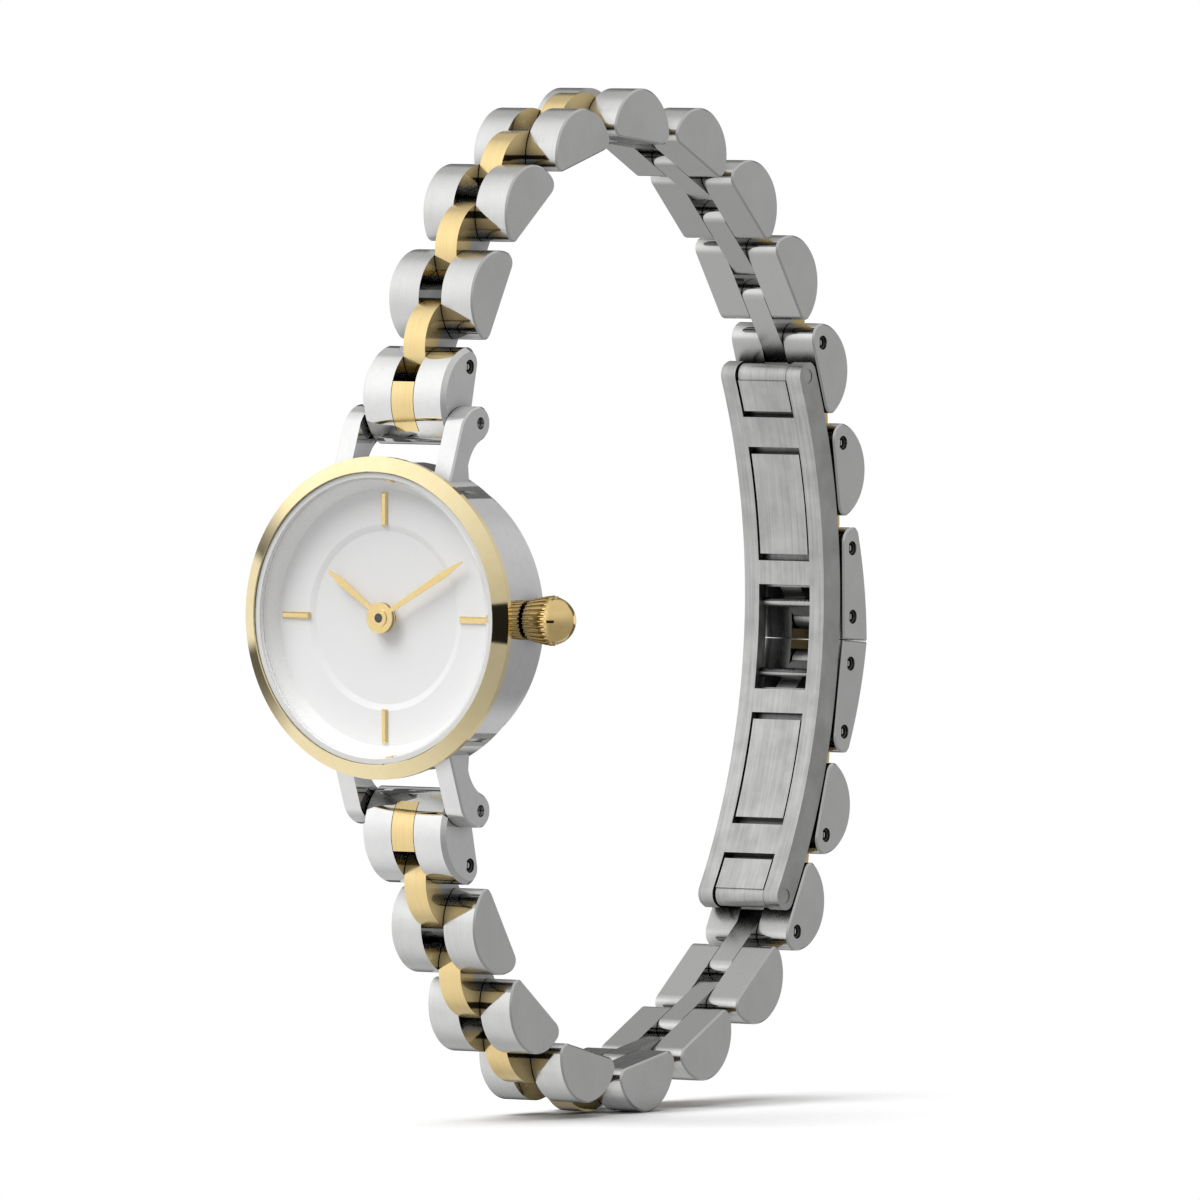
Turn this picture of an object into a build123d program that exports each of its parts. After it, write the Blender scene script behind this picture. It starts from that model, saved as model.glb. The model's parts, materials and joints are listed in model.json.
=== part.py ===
from build123d import *
import math
import os

# A small bracelet watch, closed as it is worn. Every size is in millimetres.
# +Z points to 12 o'clock, the dial faces -Y, the crown points to +X.
# The origin is the centre of the case back's outer face.

# Head, as radii and as depths behind or before the case back's face
BEZEL_RADIUS = 11.0
OPENING_RADIUS = 9.95
CASE_RADIUS = 10.55
CASE_EDGE_RADIUS = 9.95
BORE_RADIUS = 9.05
BACK_RADIUS = 9.85
BEZEL_TOP_Y = -6.8
BEZEL_RIM_Y = -6.3
CASE_FRONT_Y = -5.9
DIAL_TOP_Y = -4.95
DIAL_BACK_Y = -4.55
BACK_SEAT_Y = -1.5
CASE_EDGE_Y = -2.1
CRYSTAL_TOP_Y = -6.7
CRYSTAL_RADIUS = 9.55
REHAUT_RADIUS = 9.5
DIAL_RADIUS = 9.0
DIAL_VISIBLE_RADIUS = 8.78
DIAL_RECESS_RADIUS = 5.9
DIAL_RECESS_DEPTH = 0.12
DIAL_RECESS_SLOPE = 0.45
DIAL_HOLE_RADIUS = 0.8
SEAL_RADII = (9.3, 9.62)
SEAL_LOW_Y = -1.72
BACK_BEVEL_RADIUS = 9.3
BACK_BEVEL_Y = -0.5
BACK_INNER_Y = -1.2
BACK_RIM_Y = -2.3
BACK_RIM_WALL = 0.33
BACK_LINE = (7.3, 7.5)
BACK_LINE_DEPTH = 0.08
NOTCH_HALF = 1.2
NOTCH_Y = (-1.45, -0.95)
NOTCH_DEPTH = 0.55
BEZEL_LIP = 0.05
CRYSTAL_BEVEL = 0.12
GASKET_DROP = 0.06
RUNNING = 0.025
SEAT_GAP = 0.02
# How far a cutting shape reaches past what it cuts
PAST = 1.0

# Dial furniture
BATON_START = 6.25
BATON_END = 8.54
BATON_WIDTH = 0.46
BATON_HEIGHT = 0.2
BATON_BEVEL = 0.1
HOUR_TIP = 5.5
MINUTE_TIP = 7.9
HOUR_ANGLE = 305.0
MINUTE_ANGLE = 60.0
HAND_THICKNESS = 0.12
HAND_ROOT = 0.5
HAND_ROOT_HALF = 0.14
HAND_SHOULDER = 0.78
HAND_SHOULDER_HALF = 0.25
HAND_TIP_HALF = 0.05
HOUR_HAND_Y = -5.28
MINUTE_HAND_Y = -5.54
HUB_RADIUS = 1.06
COLLAR_RADIUS = 0.62
COLLAR_RISE = 0.08
POST_RADIUS = 0.3
POST_TOP_Y = -5.78
PIPE_RADIUS = 0.6

# Lugs and the bars that hold the bracelet
LUG_PIN_Y = -1.1
LUG_PIN_Z = 13.2
LUG_INNER_X = 3.53
LUG_OUTER_X = 5.0
LUG_BULB_RADIUS = 1.15
LUG_HOLE_RADIUS = 0.42
LUG_ROOT_Z = 8.9
LUG_BULB_END = -70
LUG_FRONT_ROOT_Y = -4.85
LUG_FRONT_END = (-3.2, 13.2)
LUG_WAIST = (-2.45, 10.35)
LUG_BACK_ROOT_Y = -2.3
BAR_RADIUS = 0.7
BAR_HALF = 3.4
BAR_TIP_RADIUS = 0.395
BAR_TIP_HALF = 4.7

# Crown and stem
CROWN_Y = -2.95
CROWN_BASE_X = 10.7
CROWN_BASE_RADIUS = 1.42
CROWN_MIDDLE = (11.5, 1.6)
CROWN_END_X = 12.35
CROWN_END_RADIUS = 1.72
CROWN_LINE_X = (11.28, 11.32)
CROWN_LINE_RADIUS = 1.5
CROWN_LINE_OUTER = 2.0
BALL_X = 12.25
BALL_RADIUS = 1.64
FLUTES = 28
FLUTE_RADIUS = 0.13
# The middle line of a flute: its radius at the crown's base and at its end
FLUTE_LINE = (1.45, 1.715)
FLUTE_END_X = 12.7
STEM_RADIUS = 0.4
STEM_END_X = 5.2
STEM_TIP_X = 11.6
CROWN_BORE_END_X = 11.7
STEM_NECK_RADIUS = 0.28
STEM_NECK_X = (6.4, 6.9)

# Movement and cell
MOVEMENT_RADIUS = 8.5
PLATE_BACK_Y = -3.4
MOVEMENT_BACK_Y = -1.8
HOLDER_BACK_Y = -2.45
CELL_RADIUS = 3.4
CELL_X = -3.9
CELL_Z = -2.9
CELL_LID_STEP = 0.25
CELL_LID_INSET = 0.5
STEM_BLOCK_X = (4.4, 8.2)
STEM_BLOCK_HALF = 1.3
COIL_X = 1.6
COIL_Y = -2.8
COIL_Z = -6.0
COIL_RADIUS = 0.7
COIL_LENGTH = 4.6
COIL_CORE_RADIUS = 0.45
COIL_CORE_LENGTH = 6.4
BRIDGE_X = (-2.0, 3.9)
BRIDGE_Z = (1.7, 6.4)
BRIDGE_THICKNESS = 0.45
PILLAR_RADIUS = 0.45
PILLARS = ((-1.2, 5.7), (3.1, 5.7))
WHEEL_THICKNESS = 0.2
# Each wheel of the train: radius, height above the plate, x and z
WHEELS = ((1.3, 0.15, 0.2, 3.4), (1.1, 0.5, 2.2, 3.6))

# Bracelet links, seen from the side: s runs along the bracelet, t outwards from the pins
WIDTH = 7.0
CENTRE_WIDTH = 1.8
SIDE_GAP = 0.05
PITCH = 7.5
ROW_PINS = 3.65
LINK_LENGTH = 6.7
INNER_T = -1.1
TOP_T = 2.5
SEAM_T = 0.85
CORNER = 0.75
KNUCKLE_CORNER = 1.1
STRIP_ROUND = 0.8
EDGE = 0.12
PIN_RADIUS = 0.5
BLIND_HALF = 2.9
OPEN_PIN_HALF = 3.15

# End links between the lugs
END_PINS = 3.9
END_MIDDLE = 1.85
END_RADIUS = 3.6
END_TOP = 2.6
END_SLOT = 2.3
END_CAP_DEPTH = 1.3
END_BEVEL = 0.3
END_SIDE_GAP = 0.05

# How each link leans at rest, in degrees from the 12 or 6 o'clock direction
UPPER_TILTS = (13, 29.6, 52.8, 74.4, 96.9, 117.1, 133.9, 145.8, 160.4)
LOWER_TILTS = (13, 32.8, 53.5, 76.4, 100.5, 116.8, 128.6, 151.6)

# Folding clasp: two long rows that meet, two arms and one curved base plate
CLASP_BEND = 5.0
CLASP_PIN = 1.65
CLASP_ROW_PINS = 4.8
CLASP_SPLIT = 0.03
CLASP_ROW_END = 1.45
CLASP_TOP = 1.85
CLASP_SHOULDER = 0.75
CLASP_CAP_T = 1.15
CLASP_BLOCK = (3.0, 4.85)
CLASP_BLOCK_T = -0.05
CLASP_NOSE = 0.6
PLATE_RADIUS = 42.0
PLATE_EDGE_T = -1.5
PLATE_DEPTH = 2.0
PLATE_WIDTH = 6.7
FLOOR = 0.6
PLATE_HALF = 20.2
PLATE_ROUND = 0.85
CHANNEL_WIDTH = 5.8
CHANNEL_HALF = 17.6
WINDOW_WIDTH = 4.3
SIDE_WINDOW = (5.6, 14.1)
MIDDLE_WINDOW = 3.85
NOTCH_START = 16.4
ARM_HINGE = 19.25
ARM_HINGE_RADIUS = 41.0
ARM_WIDTH = 5.6
ARM_INNER_RADIUS = 40.72
ARM_OUTER_RADIUS = 41.7
ARM_START = 3.65
ARM_END = 17.2
PAD_WIDTH = 4.0
PAD_FACE_RADIUS = 40.05
ARM_PAD = (6.1, 13.55)
TONGUE_START = 16.85
KNUCKLE_RADIUS = 0.95
KNUCKLE_WIDTH = 1.7
ARM_NECK_LENGTH = 1.1
ARM_NECK_TOP = (2.2, 0.25)
ARM_NECK_FOOT = (1.24, -0.82)
HINGE_PIN_HALF = 3.3
CATCH_S = 2.55
CATCH_ARC_RADIUS = 40.75
CATCH_RADIUS = 0.32
CATCH_HALF = 3.2


def turned(points):
    """A body of revolution about the Y axis from (radius, y) points."""
    return revolve(make_face(Polyline(*points, close=True)), Axis.Y)


def ring(inner, outer, y_low, y_high):
    """A plain ring about the Y axis."""
    return turned([(inner, y_low), (outer, y_low), (outer, y_high), (inner, y_high)])


def rod_along_x(radius, x_low, x_high, y, z):
    """A round rod parallel to the X axis."""
    rod = Rot(0, 90, 0) * Cylinder(radius, x_high - x_low)
    return Pos((x_low + x_high) / 2, y, z) * rod


def disc(radius, y_low, y_high, x=0.0, z=0.0):
    """A round disc whose axis is parallel to the Y axis."""
    return Pos(x, (y_low + y_high) / 2, z) * (Rot(90, 0, 0) * Cylinder(radius, y_high - y_low))


def block(x, y, z):
    """A box from three (low, high) pairs."""
    size = [pair[1] - pair[0] for pair in (x, y, z)]
    middle = [(pair[1] + pair[0]) / 2 for pair in (x, y, z)]
    return Pos(*middle) * Box(*size)


# Head


def bulb_point(angle):
    """A point on the round end of the upper lug, from the +Y side towards 12 o'clock."""
    turn = math.radians(angle)
    y = LUG_PIN_Y + LUG_BULB_RADIUS * math.cos(turn)
    return y, LUG_PIN_Z + LUG_BULB_RADIUS * math.sin(turn)


def lug_face():
    """The side of the upper lug: a slanted front, a round end and a hollow waist behind."""
    front_root = (LUG_FRONT_ROOT_Y, LUG_ROOT_Z)
    back_root = (LUG_BACK_ROOT_Y, LUG_ROOT_Z)
    bulb_end = bulb_point(LUG_BULB_END)
    leaving = math.radians(LUG_BULB_END)
    outline = [
        Line(front_root, LUG_FRONT_END),
        TangentArc(bulb_point(90), LUG_FRONT_END, tangent=(-1, 0)),
        ThreePointArc(bulb_point(90), bulb_point(0), bulb_end),
        TangentArc(bulb_end, LUG_WAIST, tangent=(math.sin(leaving), -math.cos(leaving))),
        Line(LUG_WAIST, back_root),
        Line(back_root, front_root),
    ]
    return Plane.YZ * make_face(outline)


def upper_right_lug():
    """One lug, with a small bevel round its outer face."""
    lug = Pos(LUG_INNER_X, 0, 0) * extrude(lug_face(), LUG_OUTER_X - LUG_INNER_X)
    outer_edges = lug.faces().sort_by(Axis.X)[-1].edges()
    return chamfer(outer_edges, EDGE)


def case_middle():
    """The steel case ring with its four lugs, the stem hole and the seat of the back's seal."""
    blank = turned([
        (0, CASE_FRONT_Y), (CASE_RADIUS, CASE_FRONT_Y), (CASE_RADIUS, CASE_EDGE_Y),
        (CASE_EDGE_RADIUS, BACK_SEAT_Y), (0, BACK_SEAT_Y),
    ])
    lug = upper_right_lug()
    pair = [lug, mirror(lug, Plane.YZ)]
    for one in pair + [mirror(each, Plane.XY) for each in pair]:
        blank += one
    blank -= disc(BORE_RADIUS, CASE_FRONT_Y - PAST, BACK_SEAT_Y + PAST)
    blank -= disc(OPENING_RADIUS, CASE_FRONT_Y - PAST, DIAL_TOP_Y)
    blank -= ring(*SEAL_RADII, SEAL_LOW_Y, BACK_SEAT_Y + PAST)
    blank -= rod_along_x(STEM_RADIUS + RUNNING, 0, BEZEL_RADIUS, CROWN_Y, 0)
    for z in (LUG_PIN_Z, -LUG_PIN_Z):
        blank -= rod_along_x(LUG_HOLE_RADIUS, -LUG_OUTER_X - PAST, LUG_OUTER_X + PAST, LUG_PIN_Y, z)
    return blank


def bezel():
    """The polished conical ring that frames the crystal."""
    return turned([
        (OPENING_RADIUS, CASE_FRONT_Y), (BEZEL_RADIUS, CASE_FRONT_Y), (BEZEL_RADIUS, BEZEL_RIM_Y),
        (OPENING_RADIUS + BEZEL_LIP, BEZEL_TOP_Y), (OPENING_RADIUS, BEZEL_TOP_Y + BEZEL_LIP),
    ])


def crystal():
    """The flat mineral glass with a bevelled upper edge."""
    return turned([
        (0, CASE_FRONT_Y), (CRYSTAL_RADIUS, CASE_FRONT_Y),
        (CRYSTAL_RADIUS, CRYSTAL_TOP_Y + CRYSTAL_BEVEL),
        (CRYSTAL_RADIUS - CRYSTAL_BEVEL, CRYSTAL_TOP_Y), (0, CRYSTAL_TOP_Y),
    ])


def gaskets():
    """The nylon ring round the crystal and the seal of the case back."""
    top_y = CRYSTAL_TOP_Y + GASKET_DROP
    round_crystal = ring(CRYSTAL_RADIUS + SEAT_GAP, OPENING_RADIUS - SEAT_GAP, top_y, CASE_FRONT_Y)
    inner, outer = SEAL_RADII
    seal = ring(inner + SEAT_GAP, outer - SEAT_GAP, SEAL_LOW_Y + SEAT_GAP, BACK_SEAT_Y)
    return [round_crystal, seal]


def rehaut_ring():
    """The white sloping ring between the dial and the crystal."""
    return turned([
        (DIAL_VISIBLE_RADIUS, DIAL_TOP_Y), (OPENING_RADIUS - SEAT_GAP, DIAL_TOP_Y),
        (OPENING_RADIUS - SEAT_GAP, CASE_FRONT_Y), (REHAUT_RADIUS, CASE_FRONT_Y),
    ])


def dial():
    """The dial plate with its sunken centre and the hole for the hands."""
    plate = disc(DIAL_RADIUS, DIAL_TOP_Y, DIAL_BACK_Y)
    rim = DIAL_RECESS_RADIUS + DIAL_RECESS_SLOPE
    plate -= turned([
        (0, DIAL_TOP_Y - PAST), (rim, DIAL_TOP_Y - PAST), (rim, DIAL_TOP_Y),
        (DIAL_RECESS_RADIUS, DIAL_TOP_Y + DIAL_RECESS_DEPTH), (0, DIAL_TOP_Y + DIAL_RECESS_DEPTH),
    ])
    return plate - disc(DIAL_HOLE_RADIUS, DIAL_TOP_Y - PAST, DIAL_BACK_Y + PAST)


def hour_markers():
    """Four applied batons at 12, 3, 6 and 9 o'clock."""
    half = BATON_WIDTH / 2
    baton = block((-half, half), (DIAL_TOP_Y - BATON_HEIGHT, DIAL_TOP_Y), (BATON_START, BATON_END))
    baton = chamfer(baton.faces().sort_by(Axis.Y)[0].edges(), BATON_BEVEL)
    return [Rot(0, quarter * 90, 0) * baton for quarter in range(4)]


def hand(tip, back_y, bore, angle):
    """A slim lance hand on a round hub, turned clockwise from 12 o'clock."""
    shoulder = HAND_SHOULDER * tip
    blade = Polyline(
        (-HAND_ROOT_HALF, HAND_ROOT), (-HAND_SHOULDER_HALF, shoulder), (-HAND_TIP_HALF, tip),
        (HAND_TIP_HALF, tip), (HAND_SHOULDER_HALF, shoulder), (HAND_ROOT_HALF, HAND_ROOT),
        close=True,
    )
    plane = Plane.XZ.offset(-back_y)
    solid = extrude(plane * make_face(blade), HAND_THICKNESS)
    solid += disc(HUB_RADIUS, back_y - HAND_THICKNESS, back_y)
    solid -= disc(bore, back_y - PAST, back_y + PAST)
    return Rot(0, angle, 0) * solid


def hour_hand():
    """The hour hand and its pipe, which turns on the centre post."""
    bore = POST_RADIUS + RUNNING
    blade = hand(HOUR_TIP, HOUR_HAND_Y, bore, HOUR_ANGLE)
    return blade + ring(bore, PIPE_RADIUS, HOUR_HAND_Y, DIAL_BACK_Y - SEAT_GAP)


def minute_hand():
    """The minute hand with the raised collar of its hub."""
    bore = POST_RADIUS + RUNNING
    collar_top = MINUTE_HAND_Y - HAND_THICKNESS - COLLAR_RISE
    collar = ring(bore, COLLAR_RADIUS, collar_top, MINUTE_HAND_Y)
    return hand(MINUTE_TIP, MINUTE_HAND_Y, bore, MINUTE_ANGLE) + collar


def flute_cutters():
    """Round grooves along the crown, evenly spaced, which lean out towards its end."""
    length = FLUTE_END_X - CROWN_BASE_X
    rise = FLUTE_LINE[1] - FLUTE_LINE[0]
    lean = math.degrees(math.atan2(rise, length))
    groove = Rot(0, 90 - lean, 0) * Cylinder(FLUTE_RADIUS, 2 * length)
    middle = Pos((CROWN_BASE_X + FLUTE_END_X) / 2, 0, sum(FLUTE_LINE) / 2)
    return [Rot(360 * index / FLUTES, 0, 0) * (middle * groove) for index in range(FLUTES)]


def crown():
    """The fluted onion crown that ends in a polished ball."""
    base = (CROWN_BASE_X, CROWN_BASE_RADIUS)
    end = (CROWN_END_X, CROWN_END_RADIUS)
    ball_start = (CROWN_END_X, math.sqrt(BALL_RADIUS ** 2 - (CROWN_END_X - BALL_X) ** 2))
    ball_middle = (BALL_X + BALL_RADIUS * math.sqrt(0.5), BALL_RADIUS * math.sqrt(0.5))
    tip = (BALL_X + BALL_RADIUS, 0)
    body = revolve(make_face([
        Line((CROWN_BASE_X, 0), base),
        ThreePointArc(base, CROWN_MIDDLE, end),
        Line(end, ball_start),
        ThreePointArc(ball_start, ball_middle, tip),
        Line(tip, (CROWN_BASE_X, 0)),
    ]), Axis.X)
    low, high = CROWN_LINE_X
    body -= revolve(make_face(Polyline(
        (low, CROWN_LINE_RADIUS), (high, CROWN_LINE_RADIUS), (high, CROWN_LINE_OUTER),
        (low, CROWN_LINE_OUTER), close=True,
    )), Axis.X)
    for cutter in flute_cutters():
        body -= cutter
    body -= rod_along_x(STEM_RADIUS + RUNNING, CROWN_BASE_X - PAST, CROWN_BORE_END_X, 0, 0)
    return Pos(0, CROWN_Y, 0) * body


def stem():
    """The winding stem with the neck that the setting lever holds."""
    rod = rod_along_x(STEM_RADIUS, STEM_END_X, STEM_TIP_X, CROWN_Y, 0)
    neck = rod_along_x(2 * STEM_RADIUS, *STEM_NECK_X, CROWN_Y, 0)
    neck -= rod_along_x(STEM_NECK_RADIUS, *STEM_NECK_X, CROWN_Y, 0)
    return rod - neck


def movement():
    """The quartz movement: main plate, stem block, coil, wheels, bridge and the plastic holder."""
    plate = disc(MOVEMENT_RADIUS, DIAL_BACK_Y, PLATE_BACK_Y)
    stem_block_z = (-STEM_BLOCK_HALF, STEM_BLOCK_HALF)
    plate += block(STEM_BLOCK_X, (PLATE_BACK_Y, MOVEMENT_BACK_Y), stem_block_z)
    plate -= rod_along_x(STEM_RADIUS + RUNNING, STEM_BLOCK_X[0] + SEAT_GAP, BORE_RADIUS, CROWN_Y, 0)
    plate += disc(POST_RADIUS, POST_TOP_Y, PLATE_BACK_Y)
    holder = ring(MOVEMENT_RADIUS + SEAT_GAP, BORE_RADIUS - SEAT_GAP, DIAL_BACK_Y, HOLDER_BACK_Y)
    holder -= rod_along_x(STEM_RADIUS + RUNNING, 0, BORE_RADIUS, CROWN_Y, 0)
    coil = Pos(COIL_X, COIL_Y, COIL_Z) * (Rot(0, 90, 0) * (
        Cylinder(COIL_RADIUS, COIL_LENGTH) + Cylinder(COIL_CORE_RADIUS, COIL_CORE_LENGTH)
    ))
    bridge_front = MOVEMENT_BACK_Y - BRIDGE_THICKNESS
    bridge = block(BRIDGE_X, (bridge_front, MOVEMENT_BACK_Y), BRIDGE_Z)
    for x, z in PILLARS:
        bridge += disc(PILLAR_RADIUS, PLATE_BACK_Y, bridge_front, x, z)
    wheels = []
    for radius, lift, x, z in WHEELS:
        front = PLATE_BACK_Y + lift
        wheels.append(disc(radius, front, front + WHEEL_THICKNESS, x, z))
    return [plate, holder, coil, bridge] + wheels


def battery():
    """The button cell beside the movement's bridge."""
    step_y = MOVEMENT_BACK_Y - CELL_LID_STEP
    can = disc(CELL_RADIUS, PLATE_BACK_Y, step_y, CELL_X, CELL_Z)
    return can + disc(CELL_RADIUS - CELL_LID_INSET, step_y, MOVEMENT_BACK_Y, CELL_X, CELL_Z)


def case_back():
    """The snap-on back: a bevelled cover, the rim that grips the bore and a lifting notch."""
    rim_radius = BORE_RADIUS - SEAT_GAP
    rim_inner = rim_radius - BACK_RIM_WALL
    cover = turned([
        (0, 0), (BACK_BEVEL_RADIUS, 0), (BACK_RADIUS, BACK_BEVEL_Y), (BACK_RADIUS, BACK_SEAT_Y),
        (rim_radius, BACK_SEAT_Y), (rim_radius, BACK_RIM_Y), (rim_inner, BACK_RIM_Y),
        (rim_inner, BACK_INNER_Y), (0, BACK_INNER_Y),
    ])
    cover -= ring(*BACK_LINE, -BACK_LINE_DEPTH, PAST)
    notch_z = (-BACK_RADIUS - PAST, NOTCH_DEPTH - BACK_RADIUS)
    return cover - block((-NOTCH_HALF, NOTCH_HALF), NOTCH_Y, notch_z)


def spring_bar():
    """A spring bar about the local X axis: a tube with a thinner tip at each end."""
    return rod_along_x(BAR_RADIUS, -BAR_HALF, BAR_HALF, 0, 0) + rod_along_x(
        BAR_TIP_RADIUS, -BAR_TIP_HALF, BAR_TIP_HALF, 0, 0
    )


# Bracelet, drawn from the side with s, t and the width as local x, y and z


def frame(point, tilt, side):
    """Where a link lies: its first pin, its lean and whether it is above or below the head."""
    lean = math.radians(tilt)
    along = (0, math.sin(lean), side * math.cos(lean))
    return Plane(origin=(0, *point), x_dir=along, z_dir=(side, 0, 0)).location


def corner_arc(middle, radius, centre_t, corner, side):
    """The arc that joins the flat inner edge to the dome, and its two ends."""
    rise = INNER_T + corner - centre_t
    reach = math.sqrt((radius - corner) ** 2 - rise ** 2)
    stretch = radius / (radius - corner)
    on_flat = (middle + side * reach, INNER_T)
    on_dome = (middle + side * reach * stretch, centre_t + rise * stretch)
    half_turn = (math.atan2(rise, reach) - math.pi / 2) / 2
    between = (
        middle + side * (reach + corner * math.cos(half_turn)),
        INNER_T + corner + corner * math.sin(half_turn),
    )
    return on_flat, between, on_dome


def domed_face(middle, radius, top, start_corner, end_corner):
    """A half-round side face with a flat inner edge and two rounded inner corners."""
    centre_t = top - radius
    start_flat, start_between, start_dome = corner_arc(middle, radius, centre_t, start_corner, -1)
    end_flat, end_between, end_dome = corner_arc(middle, radius, centre_t, end_corner, 1)
    return make_face([
        Line(start_flat, end_flat),
        ThreePointArc(end_flat, end_between, end_dome),
        ThreePointArc(end_dome, (middle, top), start_dome),
        ThreePointArc(start_dome, start_between, start_flat),
    ])


def slab(face, low, high):
    """A side face given its width, from low to high."""
    return Pos(0, 0, low) * extrude(face, high - low)


def pin(s, t, radius, half):
    """A pin across the bracelet, or the bore for one."""
    return Pos(s, t, 0) * Cylinder(radius, 2 * half)


def side_box(s, t, half):
    """A box in side coordinates, from s and t pairs and half its width."""
    return block(s, t, (-half, half))


def outer_piece(face):
    """The piece at one side of a row, with a fine bevel round its outer face."""
    piece = slab(face, CENTRE_WIDTH / 2 + SIDE_GAP, WIDTH / 2)
    return chamfer(piece.faces().sort_by(Axis.Z)[-1].edges(), EDGE)


def row_steel(start_corner, end_corner, first_half):
    """The two outer pieces of a row and its two pins. The first pin is the hinge pin."""
    face = domed_face(ROW_PINS / 2, LINK_LENGTH / 2, TOP_T, start_corner, end_corner)
    right = outer_piece(face)
    left = mirror(right, Plane.XY)
    first_bore = WIDTH if first_half > BLIND_HALF else first_half
    bores = [pin(0, 0, PIN_RADIUS, first_bore), pin(ROW_PINS, 0, PIN_RADIUS, BLIND_HALF)]
    pieces = [piece - bores[0] - bores[1] for piece in (left, right)]
    return pieces + [pin(0, 0, PIN_RADIUS, first_half), pin(ROW_PINS, 0, PIN_RADIUS, BLIND_HALF)]


def strip(s, fixed_bore, hinge_bores):
    """The centre strip of a link: a steel core and the gold cap on its outer side."""
    face = domed_face(s, LINK_LENGTH / 2, TOP_T, STRIP_ROUND, CORNER)
    whole = slab(face, -CENTRE_WIDTH / 2, CENTRE_WIDTH / 2)
    below = side_box((s - PITCH, s + PITCH), (SEAM_T - PITCH, SEAM_T), WIDTH)
    core = whole & below
    cap = whole - below
    core -= pin(fixed_bore, 0, PIN_RADIUS, WIDTH)
    for bore in hinge_bores:
        core -= pin(bore, 0, PIN_RADIUS + RUNNING, WIDTH)
    return core, cap


def link(start_corner=CORNER, end_corner=CORNER, first_half=BLIND_HALF):
    """A row and the strip beyond it, as steel solids and a cap. The next link hinges at PITCH."""
    core, cap = strip((ROW_PINS + PITCH) / 2, ROW_PINS, [PITCH])
    return row_steel(start_corner, end_corner, first_half) + [core], [cap]


def first_link():
    """The link beside an end link, which has a strip at both ends."""
    lead = PITCH - ROW_PINS
    steel, caps = link()
    core, cap = strip(lead / 2, lead, [0])
    moved = [Pos(lead, 0, 0) * piece for piece in steel]
    moved_caps = [Pos(lead, 0, 0) * piece for piece in caps]
    return moved + [core], moved_caps + [cap]


def end_link():
    """The solid end piece between two lugs, its removable pin and its gold centre."""
    half_width = LUG_INNER_X - END_SIDE_GAP
    face = domed_face(END_MIDDLE, END_RADIUS, END_TOP, KNUCKLE_CORNER, KNUCKLE_CORNER)
    body = slab(face, -half_width, half_width)
    groove_half = CENTRE_WIDTH / 2 + SIDE_GAP
    groove_floor = END_TOP - END_CAP_DEPTH
    centre = (-PITCH, END_SLOT)
    body = chamfer(body.faces().sort_by(Axis.Z)[0].edges(), END_BEVEL)
    body = chamfer(body.faces().sort_by(Axis.Z)[-1].edges(), END_BEVEL)
    body -= side_box((END_SLOT, PITCH), (-PITCH, PITCH), groove_half)
    body -= side_box(centre, (groove_floor, PITCH), groove_half)
    body -= pin(0, 0, BAR_RADIUS + SEAT_GAP, WIDTH)
    body -= pin(END_PINS, 0, PIN_RADIUS, WIDTH)
    cap = slab(face, -CENTRE_WIDTH / 2, CENTRE_WIDTH / 2)
    cap &= side_box(centre, (groove_floor, PITCH), WIDTH)
    return [body, pin(END_PINS, 0, PIN_RADIUS, OPEN_PIN_HALF)], [cap]


# Clasp, drawn from the side about the point where its two long rows meet


def split_point(t):
    """A point of the slanted face where the two clasp rows meet."""
    return CLASP_SPLIT - t * math.tan(math.radians(CLASP_BEND)), t


def clasp_row():
    """One long clasp row: two sides joined by a block, two pins, and the gold centre above."""
    end = CLASP_PIN + CLASP_ROW_PINS + CLASP_ROW_END
    arch_middle = (end / 2, CLASP_SHOULDER + (CLASP_TOP - CLASP_SHOULDER) * 3 / 4)
    face = make_face([
        Polyline(split_point(CLASP_TOP), split_point(INNER_T), (end, INNER_T), (end, CLASP_SHOULDER)),
        ThreePointArc((end, CLASP_SHOULDER), arch_middle, split_point(CLASP_TOP)),
    ])
    end_corners = face.vertices().group_by(Axis.X)[-1].sort_by(Axis.Y)
    face = fillet(end_corners[0], KNUCKLE_CORNER)
    face = fillet(face.vertices().sort_by(Axis.Y)[-2], CLASP_NOSE)
    whole = slab(face, -WIDTH / 2, WIDTH / 2)
    slot_half = CENTRE_WIDTH / 2 + SIDE_GAP
    cap_space = side_box((-PAST, CLASP_BLOCK[1]), (CLASP_CAP_T, PITCH), slot_half)
    cap = slab(face, -CENTRE_WIDTH / 2, CENTRE_WIDTH / 2)
    cap &= side_box((-PAST, CLASP_BLOCK[1]), (CLASP_CAP_T, PITCH), WIDTH)
    body = chamfer(whole.faces().sort_by(Axis.Z)[0].edges(), EDGE)
    body = chamfer(body.faces().sort_by(Axis.Z)[-1].edges(), EDGE)
    body -= side_box((-PAST, end + PAST), (-PITCH, CLASP_BLOCK_T), slot_half)
    body -= side_box((-PAST, CLASP_BLOCK[0]), (-PITCH, PITCH), slot_half)
    body -= side_box((CLASP_BLOCK[1], end + PAST), (-PITCH, PITCH), slot_half)
    body -= cap_space
    outer_pin = CLASP_PIN + CLASP_ROW_PINS
    for place in (CLASP_PIN, outer_pin):
        body -= pin(place, 0, PIN_RADIUS, WIDTH)
    pins = [pin(place, 0, PIN_RADIUS, OPEN_PIN_HALF) for place in (CLASP_PIN, outer_pin)]
    return [body] + pins, [cap]


def row_pin(place):
    """A pin of a clasp row in the clasp's own frame, from its place along the row."""
    bend = math.radians(CLASP_BEND)
    return place * math.cos(bend), -place * math.sin(bend)


def curved(radius, arc):
    """A point on the clasp's curve: its radius, and its way along the outer edge."""
    angle = arc / PLATE_RADIUS
    centre_t = PLATE_EDGE_T - PLATE_RADIUS
    return radius * math.sin(angle), centre_t + radius * math.cos(angle)


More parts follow.
